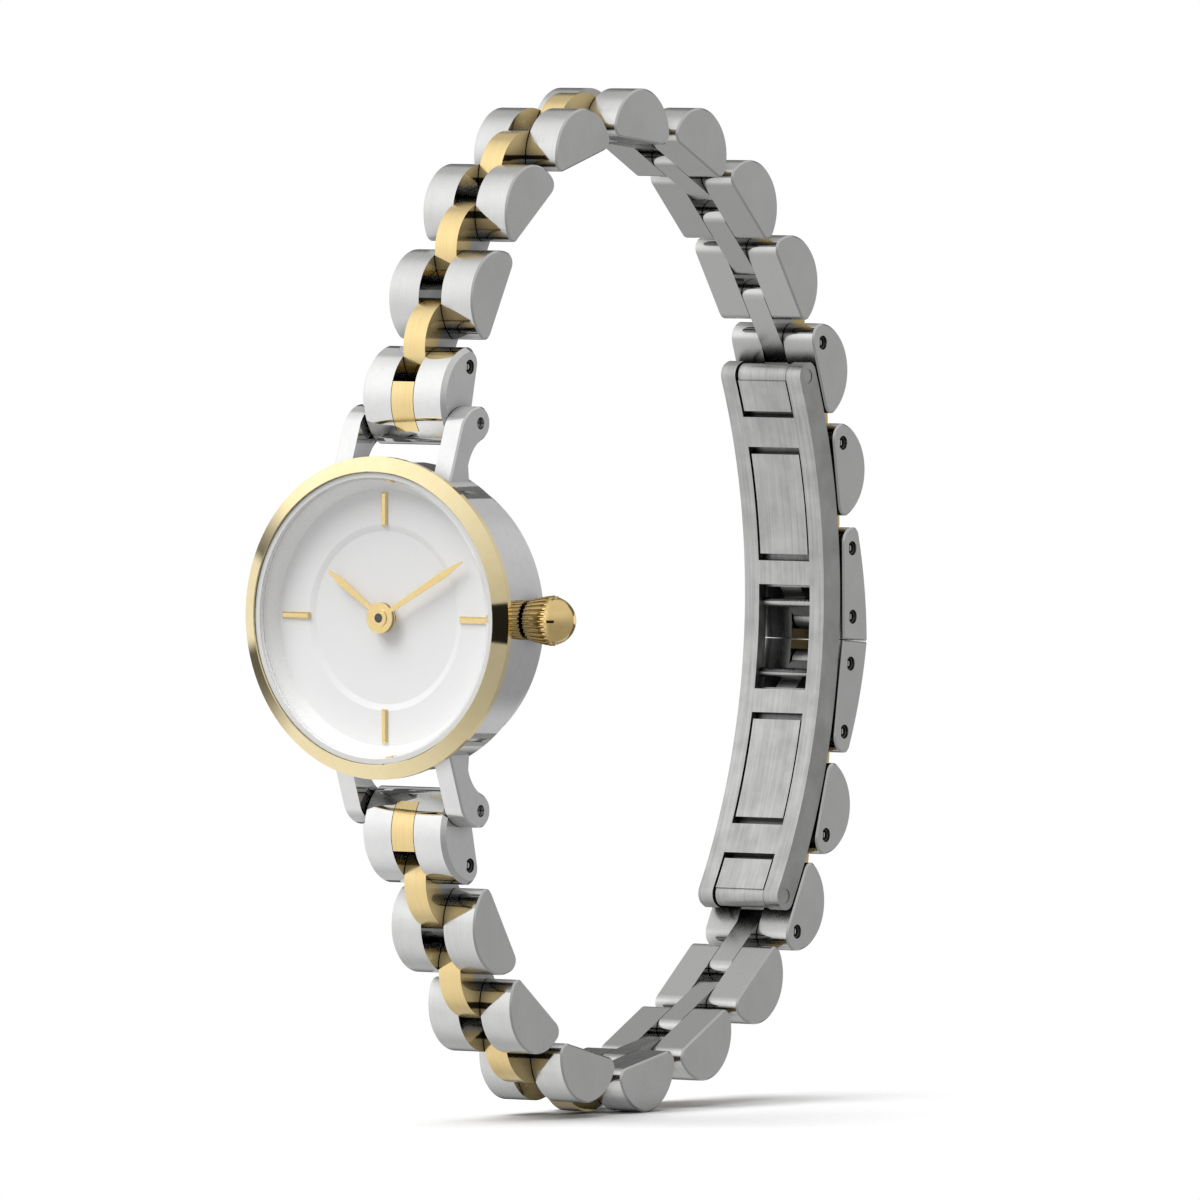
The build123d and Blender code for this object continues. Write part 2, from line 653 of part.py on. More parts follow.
def sector(inner, outer, start, end):
    """A side face between two radii of the clasp's curve."""
    middle = (start + end) / 2
    return make_face([
        ThreePointArc(curved(inner, start), curved(inner, middle), curved(inner, end)),
        Line(curved(inner, end), curved(outer, end)),
        ThreePointArc(curved(outer, end), curved(outer, middle), curved(outer, start)),
        Line(curved(outer, start), curved(inner, start)),
    ])


def curved_slab(inner, outer, start, end, width):
    """A curved plate of the clasp with the given width."""
    return slab(sector(inner, outer, start, end), -width / 2, width / 2)


def base_plate():
    """The clasp's curved channel with its windows, end notches, hinge pins and catch pins."""
    floor_radius = PLATE_RADIUS - PLATE_DEPTH
    face = sector(floor_radius, PLATE_RADIUS, -PLATE_HALF, PLATE_HALF)
    face = fillet(face.vertices(), PLATE_ROUND)
    plate = slab(face, -PLATE_WIDTH / 2, PLATE_WIDTH / 2)
    plate -= curved_slab(
        floor_radius + FLOOR, PLATE_RADIUS + PAST, -CHANNEL_HALF, CHANNEL_HALF, CHANNEL_WIDTH
    )
    windows = [(-MIDDLE_WINDOW, MIDDLE_WINDOW)]
    for side in (1, -1):
        windows += [tuple(sorted((side * SIDE_WINDOW[0], side * SIDE_WINDOW[1])))]
        windows += [tuple(sorted((side * NOTCH_START, side * (PLATE_HALF + PAST))))]
    for start, end in windows:
        plate -= curved_slab(floor_radius - PAST, PLATE_RADIUS + PAST, start, end, WINDOW_WIDTH)
    pins = []
    for side in (1, -1):
        s, t = curved(ARM_HINGE_RADIUS, side * ARM_HINGE)
        plate -= pin(s, t, PIN_RADIUS, WIDTH)
        pins += [pin(s, t, PIN_RADIUS, HINGE_PIN_HALF)]
        catch = pin(*curved(CATCH_ARC_RADIUS, side * CATCH_S), CATCH_RADIUS, CATCH_HALF)
        plate -= catch
        pins += [catch]
    return [plate] + pins


def arm():
    """A folding arm: the wide blade, the pad that shows in a window, a tongue and a knuckle."""
    body = curved_slab(ARM_INNER_RADIUS, ARM_OUTER_RADIUS, ARM_START, ARM_END, ARM_WIDTH)
    body += curved_slab(PAD_FACE_RADIUS, ARM_OUTER_RADIUS, *ARM_PAD, PAD_WIDTH)
    hinge = curved(ARM_HINGE_RADIUS, ARM_HINGE)
    tongue_face = sector(PAD_FACE_RADIUS, ARM_OUTER_RADIUS, TONGUE_START, ARM_HINGE)
    body += slab(tongue_face, -PAD_WIDTH / 2, PAD_WIDTH / 2)
    body += pin(*hinge, PLATE_ROUND, PAD_WIDTH / 2)
    neck_end = ARM_START + ARM_NECK_LENGTH
    neck = make_face(Polyline(
        curved(ARM_INNER_RADIUS, ARM_START + SEAT_GAP), curved(ARM_INNER_RADIUS, neck_end),
        curved(ARM_OUTER_RADIUS, neck_end), ARM_NECK_TOP, ARM_NECK_FOOT, close=True,
    ))
    body += slab(neck, -KNUCKLE_WIDTH / 2, KNUCKLE_WIDTH / 2)
    knuckle = row_pin(CLASP_PIN)
    body += pin(*knuckle, KNUCKLE_RADIUS, KNUCKLE_WIDTH / 2)
    body -= pin(*knuckle, PIN_RADIUS + RUNNING, WIDTH)
    return body - pin(*hinge, PIN_RADIUS + RUNNING, WIDTH)


# The closed loop: two chains of links that the clasp joins


def chain(tilts):
    """The first pin of each link of a chain above the head, then the pin after the last."""
    lengths = [END_PINS, 2 * PITCH - ROW_PINS] + [PITCH] * (len(tilts) - 2)
    point = (LUG_PIN_Y, LUG_PIN_Z)
    points = [point]
    for length, tilt in zip(lengths, tilts):
        lean = math.radians(tilt)
        point = (point[0] + length * math.sin(lean), point[1] + length * math.cos(lean))
        points.append(point)
    return points


UPPER_POINTS = chain(UPPER_TILTS)
LOWER_POINTS = [(y, -z) for y, z in chain(LOWER_TILTS)]
CLASP_LENGTH = 2 * row_pin(CLASP_PIN + CLASP_ROW_PINS)[0]
GAP_Y = LOWER_POINTS[-1][0] - UPPER_POINTS[-1][0]
GAP_Z = LOWER_POINTS[-1][1] - UPPER_POINTS[-1][1]
# The two links beside the clasp lean alike, so that the three bars close the loop exactly
CLASP_TILT = math.degrees(math.atan2(GAP_Y, GAP_Z)) % 360
SWING = math.degrees(math.acos((math.hypot(GAP_Y, GAP_Z) - CLASP_LENGTH) / (2 * PITCH)))
UPPER_CLASP_LINK_TILT = CLASP_TILT - SWING
LOWER_CLASP_LINK_TILT = 360 - CLASP_TILT - SWING


def clasp_centre():
    """The point between the two long clasp rows."""
    y, z = UPPER_POINTS[-1]
    for length, tilt in (
        (PITCH, UPPER_CLASP_LINK_TILT),
        (CLASP_PIN + CLASP_ROW_PINS, CLASP_TILT - CLASP_BEND),
    ):
        lean = math.radians(tilt)
        y += length * math.sin(lean)
        z += length * math.cos(lean)
    return y, z


def clasp_frame(side):
    """The clasp's own frame, looking towards its upper or its lower end."""
    if side > 0:
        return frame(clasp_centre(), 360 - CLASP_TILT, -1)
    return frame(clasp_centre(), CLASP_TILT, 1)


def bracelet_nodes():
    """Every link of both chains, placed: a steel node and a cap node for each."""
    removable = dict(
        start_corner=KNUCKLE_CORNER, end_corner=STRIP_ROUND, first_half=OPEN_PIN_HALF
    )
    placed = {}
    for side, letter, points, tilts in (
        (1, "upper", UPPER_POINTS, UPPER_TILTS),
        (-1, "lower", LOWER_POINTS, LOWER_TILTS),
    ):
        last = len(tilts) - 1
        for index, (point, tilt) in enumerate(zip(points, tilts)):
            if index == 0:
                steel, caps = end_link()
                name = f"{letter}_end_link"
            elif index == 1:
                steel, caps = first_link()
                name = f"{letter}_link_1"
            else:
                steel, caps = link(**removable) if index == last else link()
                name = f"{letter}_link_{index}"
            place = frame(point, tilt, side)
            placed[name] = [place * piece for piece in steel]
            placed[f"{name}_cap"] = [place * piece for piece in caps]
        tilt = UPPER_CLASP_LINK_TILT if side > 0 else LOWER_CLASP_LINK_TILT
        place = frame(points[-1], tilt, side)
        steel, caps = link(**removable)
        placed[f"{letter}_clasp_link"] = [place * piece for piece in steel]
        placed[f"{letter}_clasp_link_cap"] = [place * piece for piece in caps]
    return placed


def clasp_nodes():
    """The two long rows, the two arms and the base plate, placed."""
    placed = {}
    for side, letter in ((1, "upper"), (-1, "lower")):
        place = clasp_frame(side)
        row_place = place * Rot(0, 0, -CLASP_BEND)
        steel, caps = clasp_row()
        placed[f"{letter}_clasp_row"] = [row_place * piece for piece in steel]
        placed[f"{letter}_clasp_row_cap"] = [row_place * piece for piece in caps]
        placed[f"{letter}_clasp_arm"] = [place * arm()]
    placed["clasp_base_plate"] = [clasp_frame(1) * piece for piece in base_plate()]
    return placed


def head_nodes():
    """The case and everything in it."""
    return {
        "case_middle": [case_middle()],
        "bezel": [bezel()],
        "crystal": [crystal()],
        "gaskets": gaskets(),
        "rehaut_ring": [rehaut_ring()],
        "dial": [dial()],
        "hour_markers": hour_markers(),
        "hour_hand": [hour_hand()],
        "minute_hand": [minute_hand()],
        "crown": [crown()],
        "winding_stem": [stem()],
        "movement": movement(),
        "battery": [battery()],
        "case_back": [case_back()],
    }


def spring_bar_at(side):
    """A spring bar in the lugs above or below the head."""
    return Pos(0, LUG_PIN_Y, side * LUG_PIN_Z) * spring_bar()


def write(nodes):
    """One file for each node."""
    os.makedirs("parts", exist_ok=True)
    for name, solids in nodes.items():
        shape = solids[0] if len(solids) == 1 else Compound(children=list(solids))
        export_step(shape, f"parts/{name}.step")


NODES = {**head_nodes(), **bracelet_nodes(), **clasp_nodes()}
NODES["lower_end_link"] = NODES["lower_end_link"] + [spring_bar_at(-1)]
NODES["upper_spring_bar"] = [spring_bar_at(1)]
write(NODES)
print(f"{len(NODES)} nodes; clasp tilt {CLASP_TILT:.2f}, swing {SWING:.2f}")
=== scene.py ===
"""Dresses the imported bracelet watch: its finishes, its pin ends, and the studio it stands in.

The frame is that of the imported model: +Z points to 12 o'clock, the dial faces -Y and the crown
points to +X. Lengths are written in millimetres, and times MM they are Blender's metres.
"""

import json
import logging
import math
from dataclasses import dataclass, field
from enum import Enum

import bmesh
import bpy
from mathutils import Matrix, Vector


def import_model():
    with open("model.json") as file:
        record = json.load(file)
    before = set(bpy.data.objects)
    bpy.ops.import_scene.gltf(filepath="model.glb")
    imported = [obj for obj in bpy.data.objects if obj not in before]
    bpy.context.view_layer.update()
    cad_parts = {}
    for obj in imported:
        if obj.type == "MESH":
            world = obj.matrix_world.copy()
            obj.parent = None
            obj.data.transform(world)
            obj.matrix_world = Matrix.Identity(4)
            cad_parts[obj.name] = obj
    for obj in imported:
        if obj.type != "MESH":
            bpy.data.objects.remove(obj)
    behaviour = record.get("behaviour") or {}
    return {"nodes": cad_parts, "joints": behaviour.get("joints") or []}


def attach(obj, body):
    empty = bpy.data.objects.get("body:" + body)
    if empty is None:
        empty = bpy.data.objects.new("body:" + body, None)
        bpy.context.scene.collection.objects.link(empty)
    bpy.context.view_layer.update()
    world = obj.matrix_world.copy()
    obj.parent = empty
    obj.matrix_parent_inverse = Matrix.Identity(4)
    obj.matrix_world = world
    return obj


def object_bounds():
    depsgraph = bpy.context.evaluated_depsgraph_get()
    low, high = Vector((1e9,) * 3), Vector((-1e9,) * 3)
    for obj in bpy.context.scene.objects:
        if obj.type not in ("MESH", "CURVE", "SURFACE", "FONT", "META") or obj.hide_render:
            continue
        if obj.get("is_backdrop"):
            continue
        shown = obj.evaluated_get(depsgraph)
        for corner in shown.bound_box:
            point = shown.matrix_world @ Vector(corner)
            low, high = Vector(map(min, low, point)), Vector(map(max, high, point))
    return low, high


log = logging.getLogger("bracelet_watch")

MM = 0.001
X_AXIS = Vector((1, 0, 0))
Z_AXIS = Vector((0, 0, 1))
FLOOR_GAP = 0.05

# The values that one noise, and two noises added together, stay between in practice
NOISE_SPAN = (0.3, 0.7)
TWO_NOISES_SPAN = (0.7, 1.3)

# How open a place is where a recess's painted shade starts and where it is darkest, as shares of
# the sky
RECESS_OPENNESS = (0.35, 0.85)
RECESS_SAMPLES = 6
# Seams a few hundredths of a millimetre wide get painted black shade: how little openness
# makes one black, and its tone
SEAM_OPENNESS = (0.06, 0.16)
PAINTED_SEAM_SHADE = "#1C1B19"


def linear(colour: str) -> tuple[float, float, float, float]:
    """A colour for a socket.

    Args:
        colour: an sRGB hex value such as "#E8C46A".

    Returns:
        The linear red, green, blue and an alpha of 1.
    """
    parts = [int(colour[start:start + 2], 16) / 255 for start in (1, 3, 5)]
    red, green, blue = (
        part / 12.92 if part <= 0.04045 else ((part + 0.055) / 1.055) ** 2.4 for part in parts
    )
    return (red, green, blue, 1.0)


def add_node(
    tree: bpy.types.NodeTree, kind: str, inputs: dict | None = None, **settings: object
) -> bpy.types.Node:
    """Adds one node with its settings and its inputs.

    Args:
        tree: the node tree that gets the node.
        kind: Blender's name for the node.
        inputs: a value or an output socket for each input, by name or number.
        settings: the node's own properties.

    Returns:
        The new node.
    """
    node = tree.nodes.new(kind)
    for name, value in settings.items():
        setattr(node, name, value)
    for name, value in (inputs or {}).items():
        if isinstance(value, bpy.types.NodeSocket):
            tree.links.new(value, node.inputs[name])
        else:
            node.inputs[name].default_value = value
    return node


def new_material(name: str) -> tuple[bpy.types.Material, bpy.types.NodeTree, bpy.types.Node]:
    """An empty node material.

    Args:
        name: the material's name.

    Returns:
        The material, its cleared tree and its output node.
    """
    material = bpy.data.materials.new(name)
    material.use_nodes = True
    tree = material.node_tree
    tree.nodes.clear()
    return material, tree, add_node(tree, "ShaderNodeOutputMaterial")


class Grain(Enum):
    """Which way a finish's marks run, as how long they are along x, y and z beside their width."""

    ALONG_BRACELET = (1.0, 40.0, 40.0)
    EVEN = (1.0, 1.0, 1.0)


@dataclass(frozen=True)
class MetalFinish:
    """A metal surface with its grain, its slow changes of tone and its fine relief.

    The colours are what the metal sends back of white light, at its brightest and its dullest.
    Narrow recesses get painted shade: shade_width is how near a wall counts, or 0 for no painted
    shade, and shade_depth is the least light left.
    """

    name: str
    bright: str
    dull: str
    roughness: float
    spread: float
    grain: Grain
    grain_width: float
    cloud_width: float
    relief: float
    shade_width: float = 2.0
    shade_depth: float = 0.4

    def tone(self, tree: bpy.types.NodeTree, width: float, grain: Grain) -> bpy.types.NodeSocket:
        """Noise with marks of a real width.

        Args:
            tree: the material's tree.
            width: the width of a mark.
            grain: which way the marks run.

        Returns:
            The noise's socket.
        """
        place = add_node(tree, "ShaderNodeTexCoord").outputs["Object"]
        scale = tuple(1 / (width * MM * longer) for longer in grain.value)
        mapping = add_node(tree, "ShaderNodeMapping", {"Vector": place, "Scale": scale})
        return add_node(tree, "ShaderNodeTexNoise", {
            "Vector": mapping.outputs["Vector"], "Scale": 1.0, "Detail": 3.0, "Roughness": 0.6,
        }).outputs["Fac"]

    def material(self) -> bpy.types.Material:
        """Builds the finish.

        Returns:
            The material.
        """
        material, tree, output = new_material(self.name)
        grain = self.tone(tree, self.grain_width, self.grain)
        cloud = self.tone(tree, self.cloud_width, Grain.EVEN)
        both = add_node(tree, "ShaderNodeMath", {0: grain, 1: cloud}, operation="ADD").outputs[0]
        brightness = add_node(tree, "ShaderNodeMapRange", {
            "Value": both, "From Min": TWO_NOISES_SPAN[0], "From Max": TWO_NOISES_SPAN[1],
        })
        colour = add_node(tree, "ShaderNodeMix", {
            0: brightness.outputs["Result"], 6: linear(self.dull), 7: linear(self.bright),
        }, data_type="RGBA")
        rough = add_node(tree, "ShaderNodeMapRange", {
            "Value": both, "From Min": TWO_NOISES_SPAN[0], "From Max": TWO_NOISES_SPAN[1],
            "To Min": self.roughness + self.spread, "To Max": self.roughness - self.spread,
        })
        relief = add_node(tree, "ShaderNodeBump", {
            "Height": grain, "Strength": 1.0, "Distance": self.relief * MM,
        })
        surface = add_node(tree, "ShaderNodeBsdfPrincipled", {
            "Base Color": colour.outputs[2], "Metallic": 1.0,
            "Roughness": rough.outputs["Result"], "Normal": relief.outputs["Normal"],
        })
        self.vary(tree, surface)
        # Painted shade: narrow recesses darken and the finest seams turn black, by how open each
        # place is
        shader = self.painted_recess_shade(tree, surface) if self.shade_width else surface.outputs["BSDF"]
        tree.links.new(shader, output.inputs["Surface"])
        return material

    def vary(self, tree: bpy.types.NodeTree, surface: bpy.types.Node) -> None:
        """Leaves the finish the same all over. Other finishes change it on some faces."""

    def painted_recess_shade(self, tree: bpy.types.NodeTree, surface: bpy.types.Node) -> bpy.types.NodeSocket:
        """Darkens the narrow recesses with painted shade, and paints the finest seams black as
        shade.

        Args:
            tree: the material's tree.
            surface: its Principled node, already fed.

        Returns:
            The finished shader's socket.
        """
        openness = add_node(tree, "ShaderNodeAmbientOcclusion", {
            "Distance": self.shade_width * MM,
        }, samples=RECESS_SAMPLES).outputs["AO"]
        light_left = add_node(tree, "ShaderNodeMapRange", {
            "Value": openness, "From Min": RECESS_OPENNESS[0], "From Max": RECESS_OPENNESS[1],
            "To Min": self.shade_depth, "To Max": 1.0,
        }, interpolation_type="SMOOTHSTEP")
        shaded = add_node(tree, "ShaderNodeVectorMath", {
            0: surface.inputs["Base Color"].links[0].from_socket,
            "Scale": light_left.outputs["Result"],
        }, operation="SCALE")
        tree.links.new(shaded.outputs["Vector"], surface.inputs["Base Color"])
        seam = add_node(tree, "ShaderNodeMapRange", {
            "Value": openness, "From Min": SEAM_OPENNESS[0], "From Max": SEAM_OPENNESS[1],
            "To Min": 1.0, "To Max": 0.0,
        })
        # Painted shade: a black matt surface stands in for the dark in the finest seams
        black = add_node(tree, "ShaderNodeBsdfDiffuse", {"Color": linear(PAINTED_SEAM_SHADE)})
        mix = add_node(tree, "ShaderNodeMixShader", {
            0: seam.outputs["Result"], 1: surface.outputs["BSDF"], 2: black.outputs["BSDF"],
        })
        return mix.outputs["Shader"]


@dataclass(frozen=True)
class LinkFinish(MetalFinish):
    """A link's metal: satin outside, with painted shade on the wrist's side, polished between the
    pieces.

    The polish lies on the faces beside the gold centres, out to gap_half from the bracelet's
    middle, and on the ends that meet the next row. The last three pairs are cosines: where a face
    starts to count as one that looks that way, and where it counts in full.
    """

    # Painted shade: the darker tone of the faces that look in towards the wrist
    wrist_side_shade_tone: str = "#B9B9B8"
    polish: float = 0.07
    gap_half: tuple[float, float] = (1.3, 1.235)
    loop_centre: tuple[float, float, float] = (0.0, 20.7, 0.0)
    wrist_side: tuple[float, float] = (-0.6, -0.85)
    row_ends: tuple[float, float] = (0.78, 0.84)
    gap_sides: tuple[float, float] = (0.7, 0.9)

    def share(
        self, tree: bpy.types.NodeTree, value: bpy.types.NodeSocket, edges: tuple[float, float]
    ) -> bpy.types.NodeSocket:
        """A share from 0 to 1 between two values.

        Args:
            tree: the material's tree.
            value: what the share depends on.
            edges: where it is 0 and where it is 1.

        Returns:
            The share's socket.
        """
        return add_node(tree, "ShaderNodeMapRange", {
            "Value": value, "From Min": edges[0], "From Max": edges[1],
        }, interpolation_type="SMOOTHSTEP").outputs["Result"]

    def size_along_x(
        self, tree: bpy.types.NodeTree, vector: bpy.types.NodeSocket
    ) -> bpy.types.NodeSocket:
        """How large a vector's x is, whatever its sign.

        Args:
            tree: the material's tree.
            vector: the vector.

        Returns:
            The size's socket.
        """
        parts = add_node(tree, "ShaderNodeSeparateXYZ", {0: vector})
        return add_node(tree, "ShaderNodeMath", {
            0: parts.outputs["X"],
        }, operation="ABSOLUTE").outputs[0]

    def facings(self, tree: bpy.types.NodeTree) -> list[bpy.types.NodeSocket]:
        """How much a face looks outwards from the loop, and how much along it.

        Args:
            tree: the material's tree.

        Returns:
            The cosine to the way outwards, and the cosine to the way along.
        """
        coordinates = add_node(tree, "ShaderNodeTexCoord")
        arm = add_node(tree, "ShaderNodeVectorMath", {
            0: coordinates.outputs["Object"], 1: tuple(value * MM for value in self.loop_centre),
        }, operation="SUBTRACT")
        flat = add_node(tree, "ShaderNodeVectorMath", {
            0: arm.outputs["Vector"], 1: (0.0, 1.0, 1.0),
        }, operation="MULTIPLY")
        outwards = add_node(tree, "ShaderNodeVectorMath", {
            0: flat.outputs["Vector"],
        }, operation="NORMALIZE")
        along = add_node(tree, "ShaderNodeVectorMath", {
            0: outwards.outputs["Vector"], 1: X_AXIS,
        }, operation="CROSS_PRODUCT")
        return [
            add_node(tree, "ShaderNodeVectorMath", {
                0: coordinates.outputs["Normal"], 1: way.outputs["Vector"],
            }, operation="DOT_PRODUCT").outputs["Value"]
            for way in (outwards, along)
        ]

    def polished_share(
        self, tree: bpy.types.NodeTree, along: bpy.types.NodeSocket
    ) -> bpy.types.NodeSocket:
        """Where the link is polished: in the gaps beside the gold centres and on its ends.

        Args:
            tree: the material's tree.
            along: how much a face looks along the bracelet.

        Returns:
            The share's socket.
        """
        coordinates = add_node(tree, "ShaderNodeTexCoord")
        end = add_node(tree, "ShaderNodeMath", {0: along}, operation="ABSOLUTE")
        ends = self.share(tree, end.outputs[0], self.row_ends)
        reach = self.size_along_x(tree, coordinates.outputs["Object"])
        near = self.share(tree, reach, tuple(half * MM for half in self.gap_half))
        side = self.size_along_x(tree, coordinates.outputs["Normal"])
        sideways = self.share(tree, side, self.gap_sides)
        gap = add_node(tree, "ShaderNodeMath", {0: near, 1: sideways}, operation="MULTIPLY")
        return add_node(tree, "ShaderNodeMath", {
            0: gap.outputs[0], 1: ends,
        }, operation="MAXIMUM").outputs[0]

    def vary(self, tree: bpy.types.NodeTree, surface: bpy.types.Node) -> None:
        """Adds painted shade on the wrist's side, and the polished gaps and ends.

        Args:
            tree: the material's tree.
            surface: its Principled node, already fed.
        """
        outwards, along = self.facings(tree)
        # Painted shade: faces that look in towards the wrist take a darker tone
        tone = add_node(tree, "ShaderNodeMix", {
            0: self.share(tree, outwards, self.wrist_side),
            6: surface.inputs["Base Color"].links[0].from_socket, 7: linear(self.wrist_side_shade_tone),
        }, data_type="RGBA")
        smooth = add_node(tree, "ShaderNodeMix", {
            0: self.polished_share(tree, along),
            2: surface.inputs["Roughness"].links[0].from_socket, 3: self.polish,
        }, data_type="FLOAT")
        tree.links.new(tone.outputs[2], surface.inputs["Base Color"])
        tree.links.new(smooth.outputs[0], surface.inputs["Roughness"])


# Polished 316L steel: a clear mirror that takes its light and dark bands from what stands round it
POLISHED_STEEL = MetalFinish(
    name="polished_316L_steel", bright="#EAEAE9", dull="#E2E2E2", roughness=0.05, spread=0.015,
    grain=Grain.EVEN, grain_width=0.5, cloud_width=3.0, relief=0.0002,
)
# Satin 316L steel of the links: a soft pale sheen, with hairlines along the bracelet. The real
# lines are about 0.02 mm wide and are drawn at 0.12 mm, so that they show
SATIN_STEEL = LinkFinish(
    name="satin_316L_steel", bright="#DCDCDB", dull="#D2D2D1", roughness=0.27, spread=0.03,
    grain=Grain.ALONG_BRACELET, grain_width=0.12, cloud_width=2.5, relief=0.0007,
)
# Brushed 304 steel of the folding clasp: duller and coarser, with lines along the blades. The real
# lines are about 0.04 mm wide and are drawn at 0.16 mm, so that they show
BRUSHED_STEEL = MetalFinish(
    name="brushed_304_steel", bright="#C4C4C3", dull="#AAAAA9", roughness=0.36, spread=0.06,
    grain=Grain.ALONG_BRACELET, grain_width=0.16, cloud_width=2.0, relief=0.002,
)
# Polished pale gold plating of the bezel: a warm mirror that goes brown where it mirrors the dark
POLISHED_GOLD = MetalFinish(
    name="polished_pale_gold_plating", bright="#FCECC2", dull="#F8E5B2", roughness=0.04,
    spread=0.012, grain=Grain.EVEN, grain_width=0.6, cloud_width=3.0, relief=0.0002,
)
# Polished gold plating of the crown: a richer yellow than the bezel, with painted shade only in its
# flutes
CROWN_GOLD = MetalFinish(
    name="polished_gold_plated_crown", bright="#FFE3A4", dull="#F9D78E", roughness=0.05,
    spread=0.015, grain=Grain.EVEN, grain_width=0.4, cloud_width=2.0, relief=0.0002,
    shade_width=0.5, shade_depth=0.5,
)
# Satin gold plating of the link centres: warm and even, with the same hairlines as the steel
SATIN_GOLD = LinkFinish(
    name="satin_gold_plating", bright="#F6DFA6", dull="#F0D396", roughness=0.24, spread=0.03,
    grain=Grain.ALONG_BRACELET, grain_width=0.12, cloud_width=2.5, relief=0.0006,
    # Painted shade: the faces towards the wrist take the darker dull gold
    wrist_side_shade_tone="#F0D396",
)
# Diamond-cut gold plating of the hands and batons: flat facets, each with one clean tone
CUT_GOLD = MetalFinish(
    name="diamond_cut_gold_plating", bright="#F0D590", dull="#EACB80", roughness=0.2, spread=0.03,
    grain=Grain.EVEN, grain_width=0.3, cloud_width=1.5, relief=0.0002, shade_width=0.0,
)
# Nickel-plated brass of the movement: a slightly warm grey with fine turning marks
NICKEL_BRASS = MetalFinish(
    name="nickel_plated_brass", bright="#D9D4C8", dull="#C2BBAC", roughness=0.28, spread=0.05,
    grain=Grain.EVEN, grain_width=0.1, cloud_width=1.5, relief=0.001,
)
# Painted shade: the collar at the mouth of a drilled hole is dark steel, standing in for the
# shade inside the hole
SHADED_BORE_STEEL = MetalFinish(
    name="painted_shade_bore_steel", bright="#5A5957", dull="#3E3D3B", roughness=0.3, spread=0.05,
    grain=Grain.EVEN, grain_width=0.1, cloud_width=0.6, relief=0.0006,
)
# Drawn stainless can of the button cell: bright, with faint drawing lines
CELL_STEEL = MetalFinish(
    name="drawn_stainless_cell_can", bright="#D8D8D6", dull="#C8C8C6", roughness=0.22, spread=0.05,
    grain=Grain.EVEN, grain_width=0.2, cloud_width=1.2, relief=0.0006,
)


@dataclass(frozen=True)
class CoatedFinish:
    """A lacquer or plastic surface: an even colour with a fine tooth, and maybe a clear coat."""

    name: str
    pale: str
    deep: str
    roughness: float
    tooth_width: float
    tooth_depth: float
    spread: float = 0.04
    coat: float = 0.0
    coat_roughness: float = 0.1

    def with_painted_shade(
        self, tree: bpy.types.NodeTree, colour: bpy.types.NodeSocket
    ) -> bpy.types.NodeSocket:
        """The colour as it is. Another finish paints shade into it from place to place."""
        return colour

    def material(self) -> bpy.types.Material:
        """Builds the finish.

        Returns:
            The material.
        """
        material, tree, output = new_material(self.name)
        place = add_node(tree, "ShaderNodeTexCoord").outputs["Object"]
        tooth = add_node(tree, "ShaderNodeTexNoise", {
            "Vector": place, "Scale": 1 / (self.tooth_width * MM), "Detail": 2.0, "Roughness": 0.5,
        }).outputs["Fac"]
        colour = add_node(tree, "ShaderNodeMix", {
            0: tooth, 6: linear(self.deep), 7: linear(self.pale),
        }, data_type="RGBA")
        rough = add_node(tree, "ShaderNodeMapRange", {
            "Value": tooth, "From Min": NOISE_SPAN[0], "From Max": NOISE_SPAN[1],
            "To Min": self.roughness - self.spread, "To Max": self.roughness + self.spread,
        })
        relief = add_node(tree, "ShaderNodeBump", {
            "Height": tooth, "Strength": 1.0, "Distance": self.tooth_depth * MM,
        })
        surface = add_node(tree, "ShaderNodeBsdfPrincipled", {
            "Base Color": self.with_painted_shade(tree, colour.outputs[2]),
            "Roughness": rough.outputs["Result"], "Normal": relief.outputs["Normal"],
            "Coat Weight": self.coat, "Coat Roughness": self.coat_roughness,
        })
        tree.links.new(surface.outputs["BSDF"], output.inputs["Surface"])
        return material


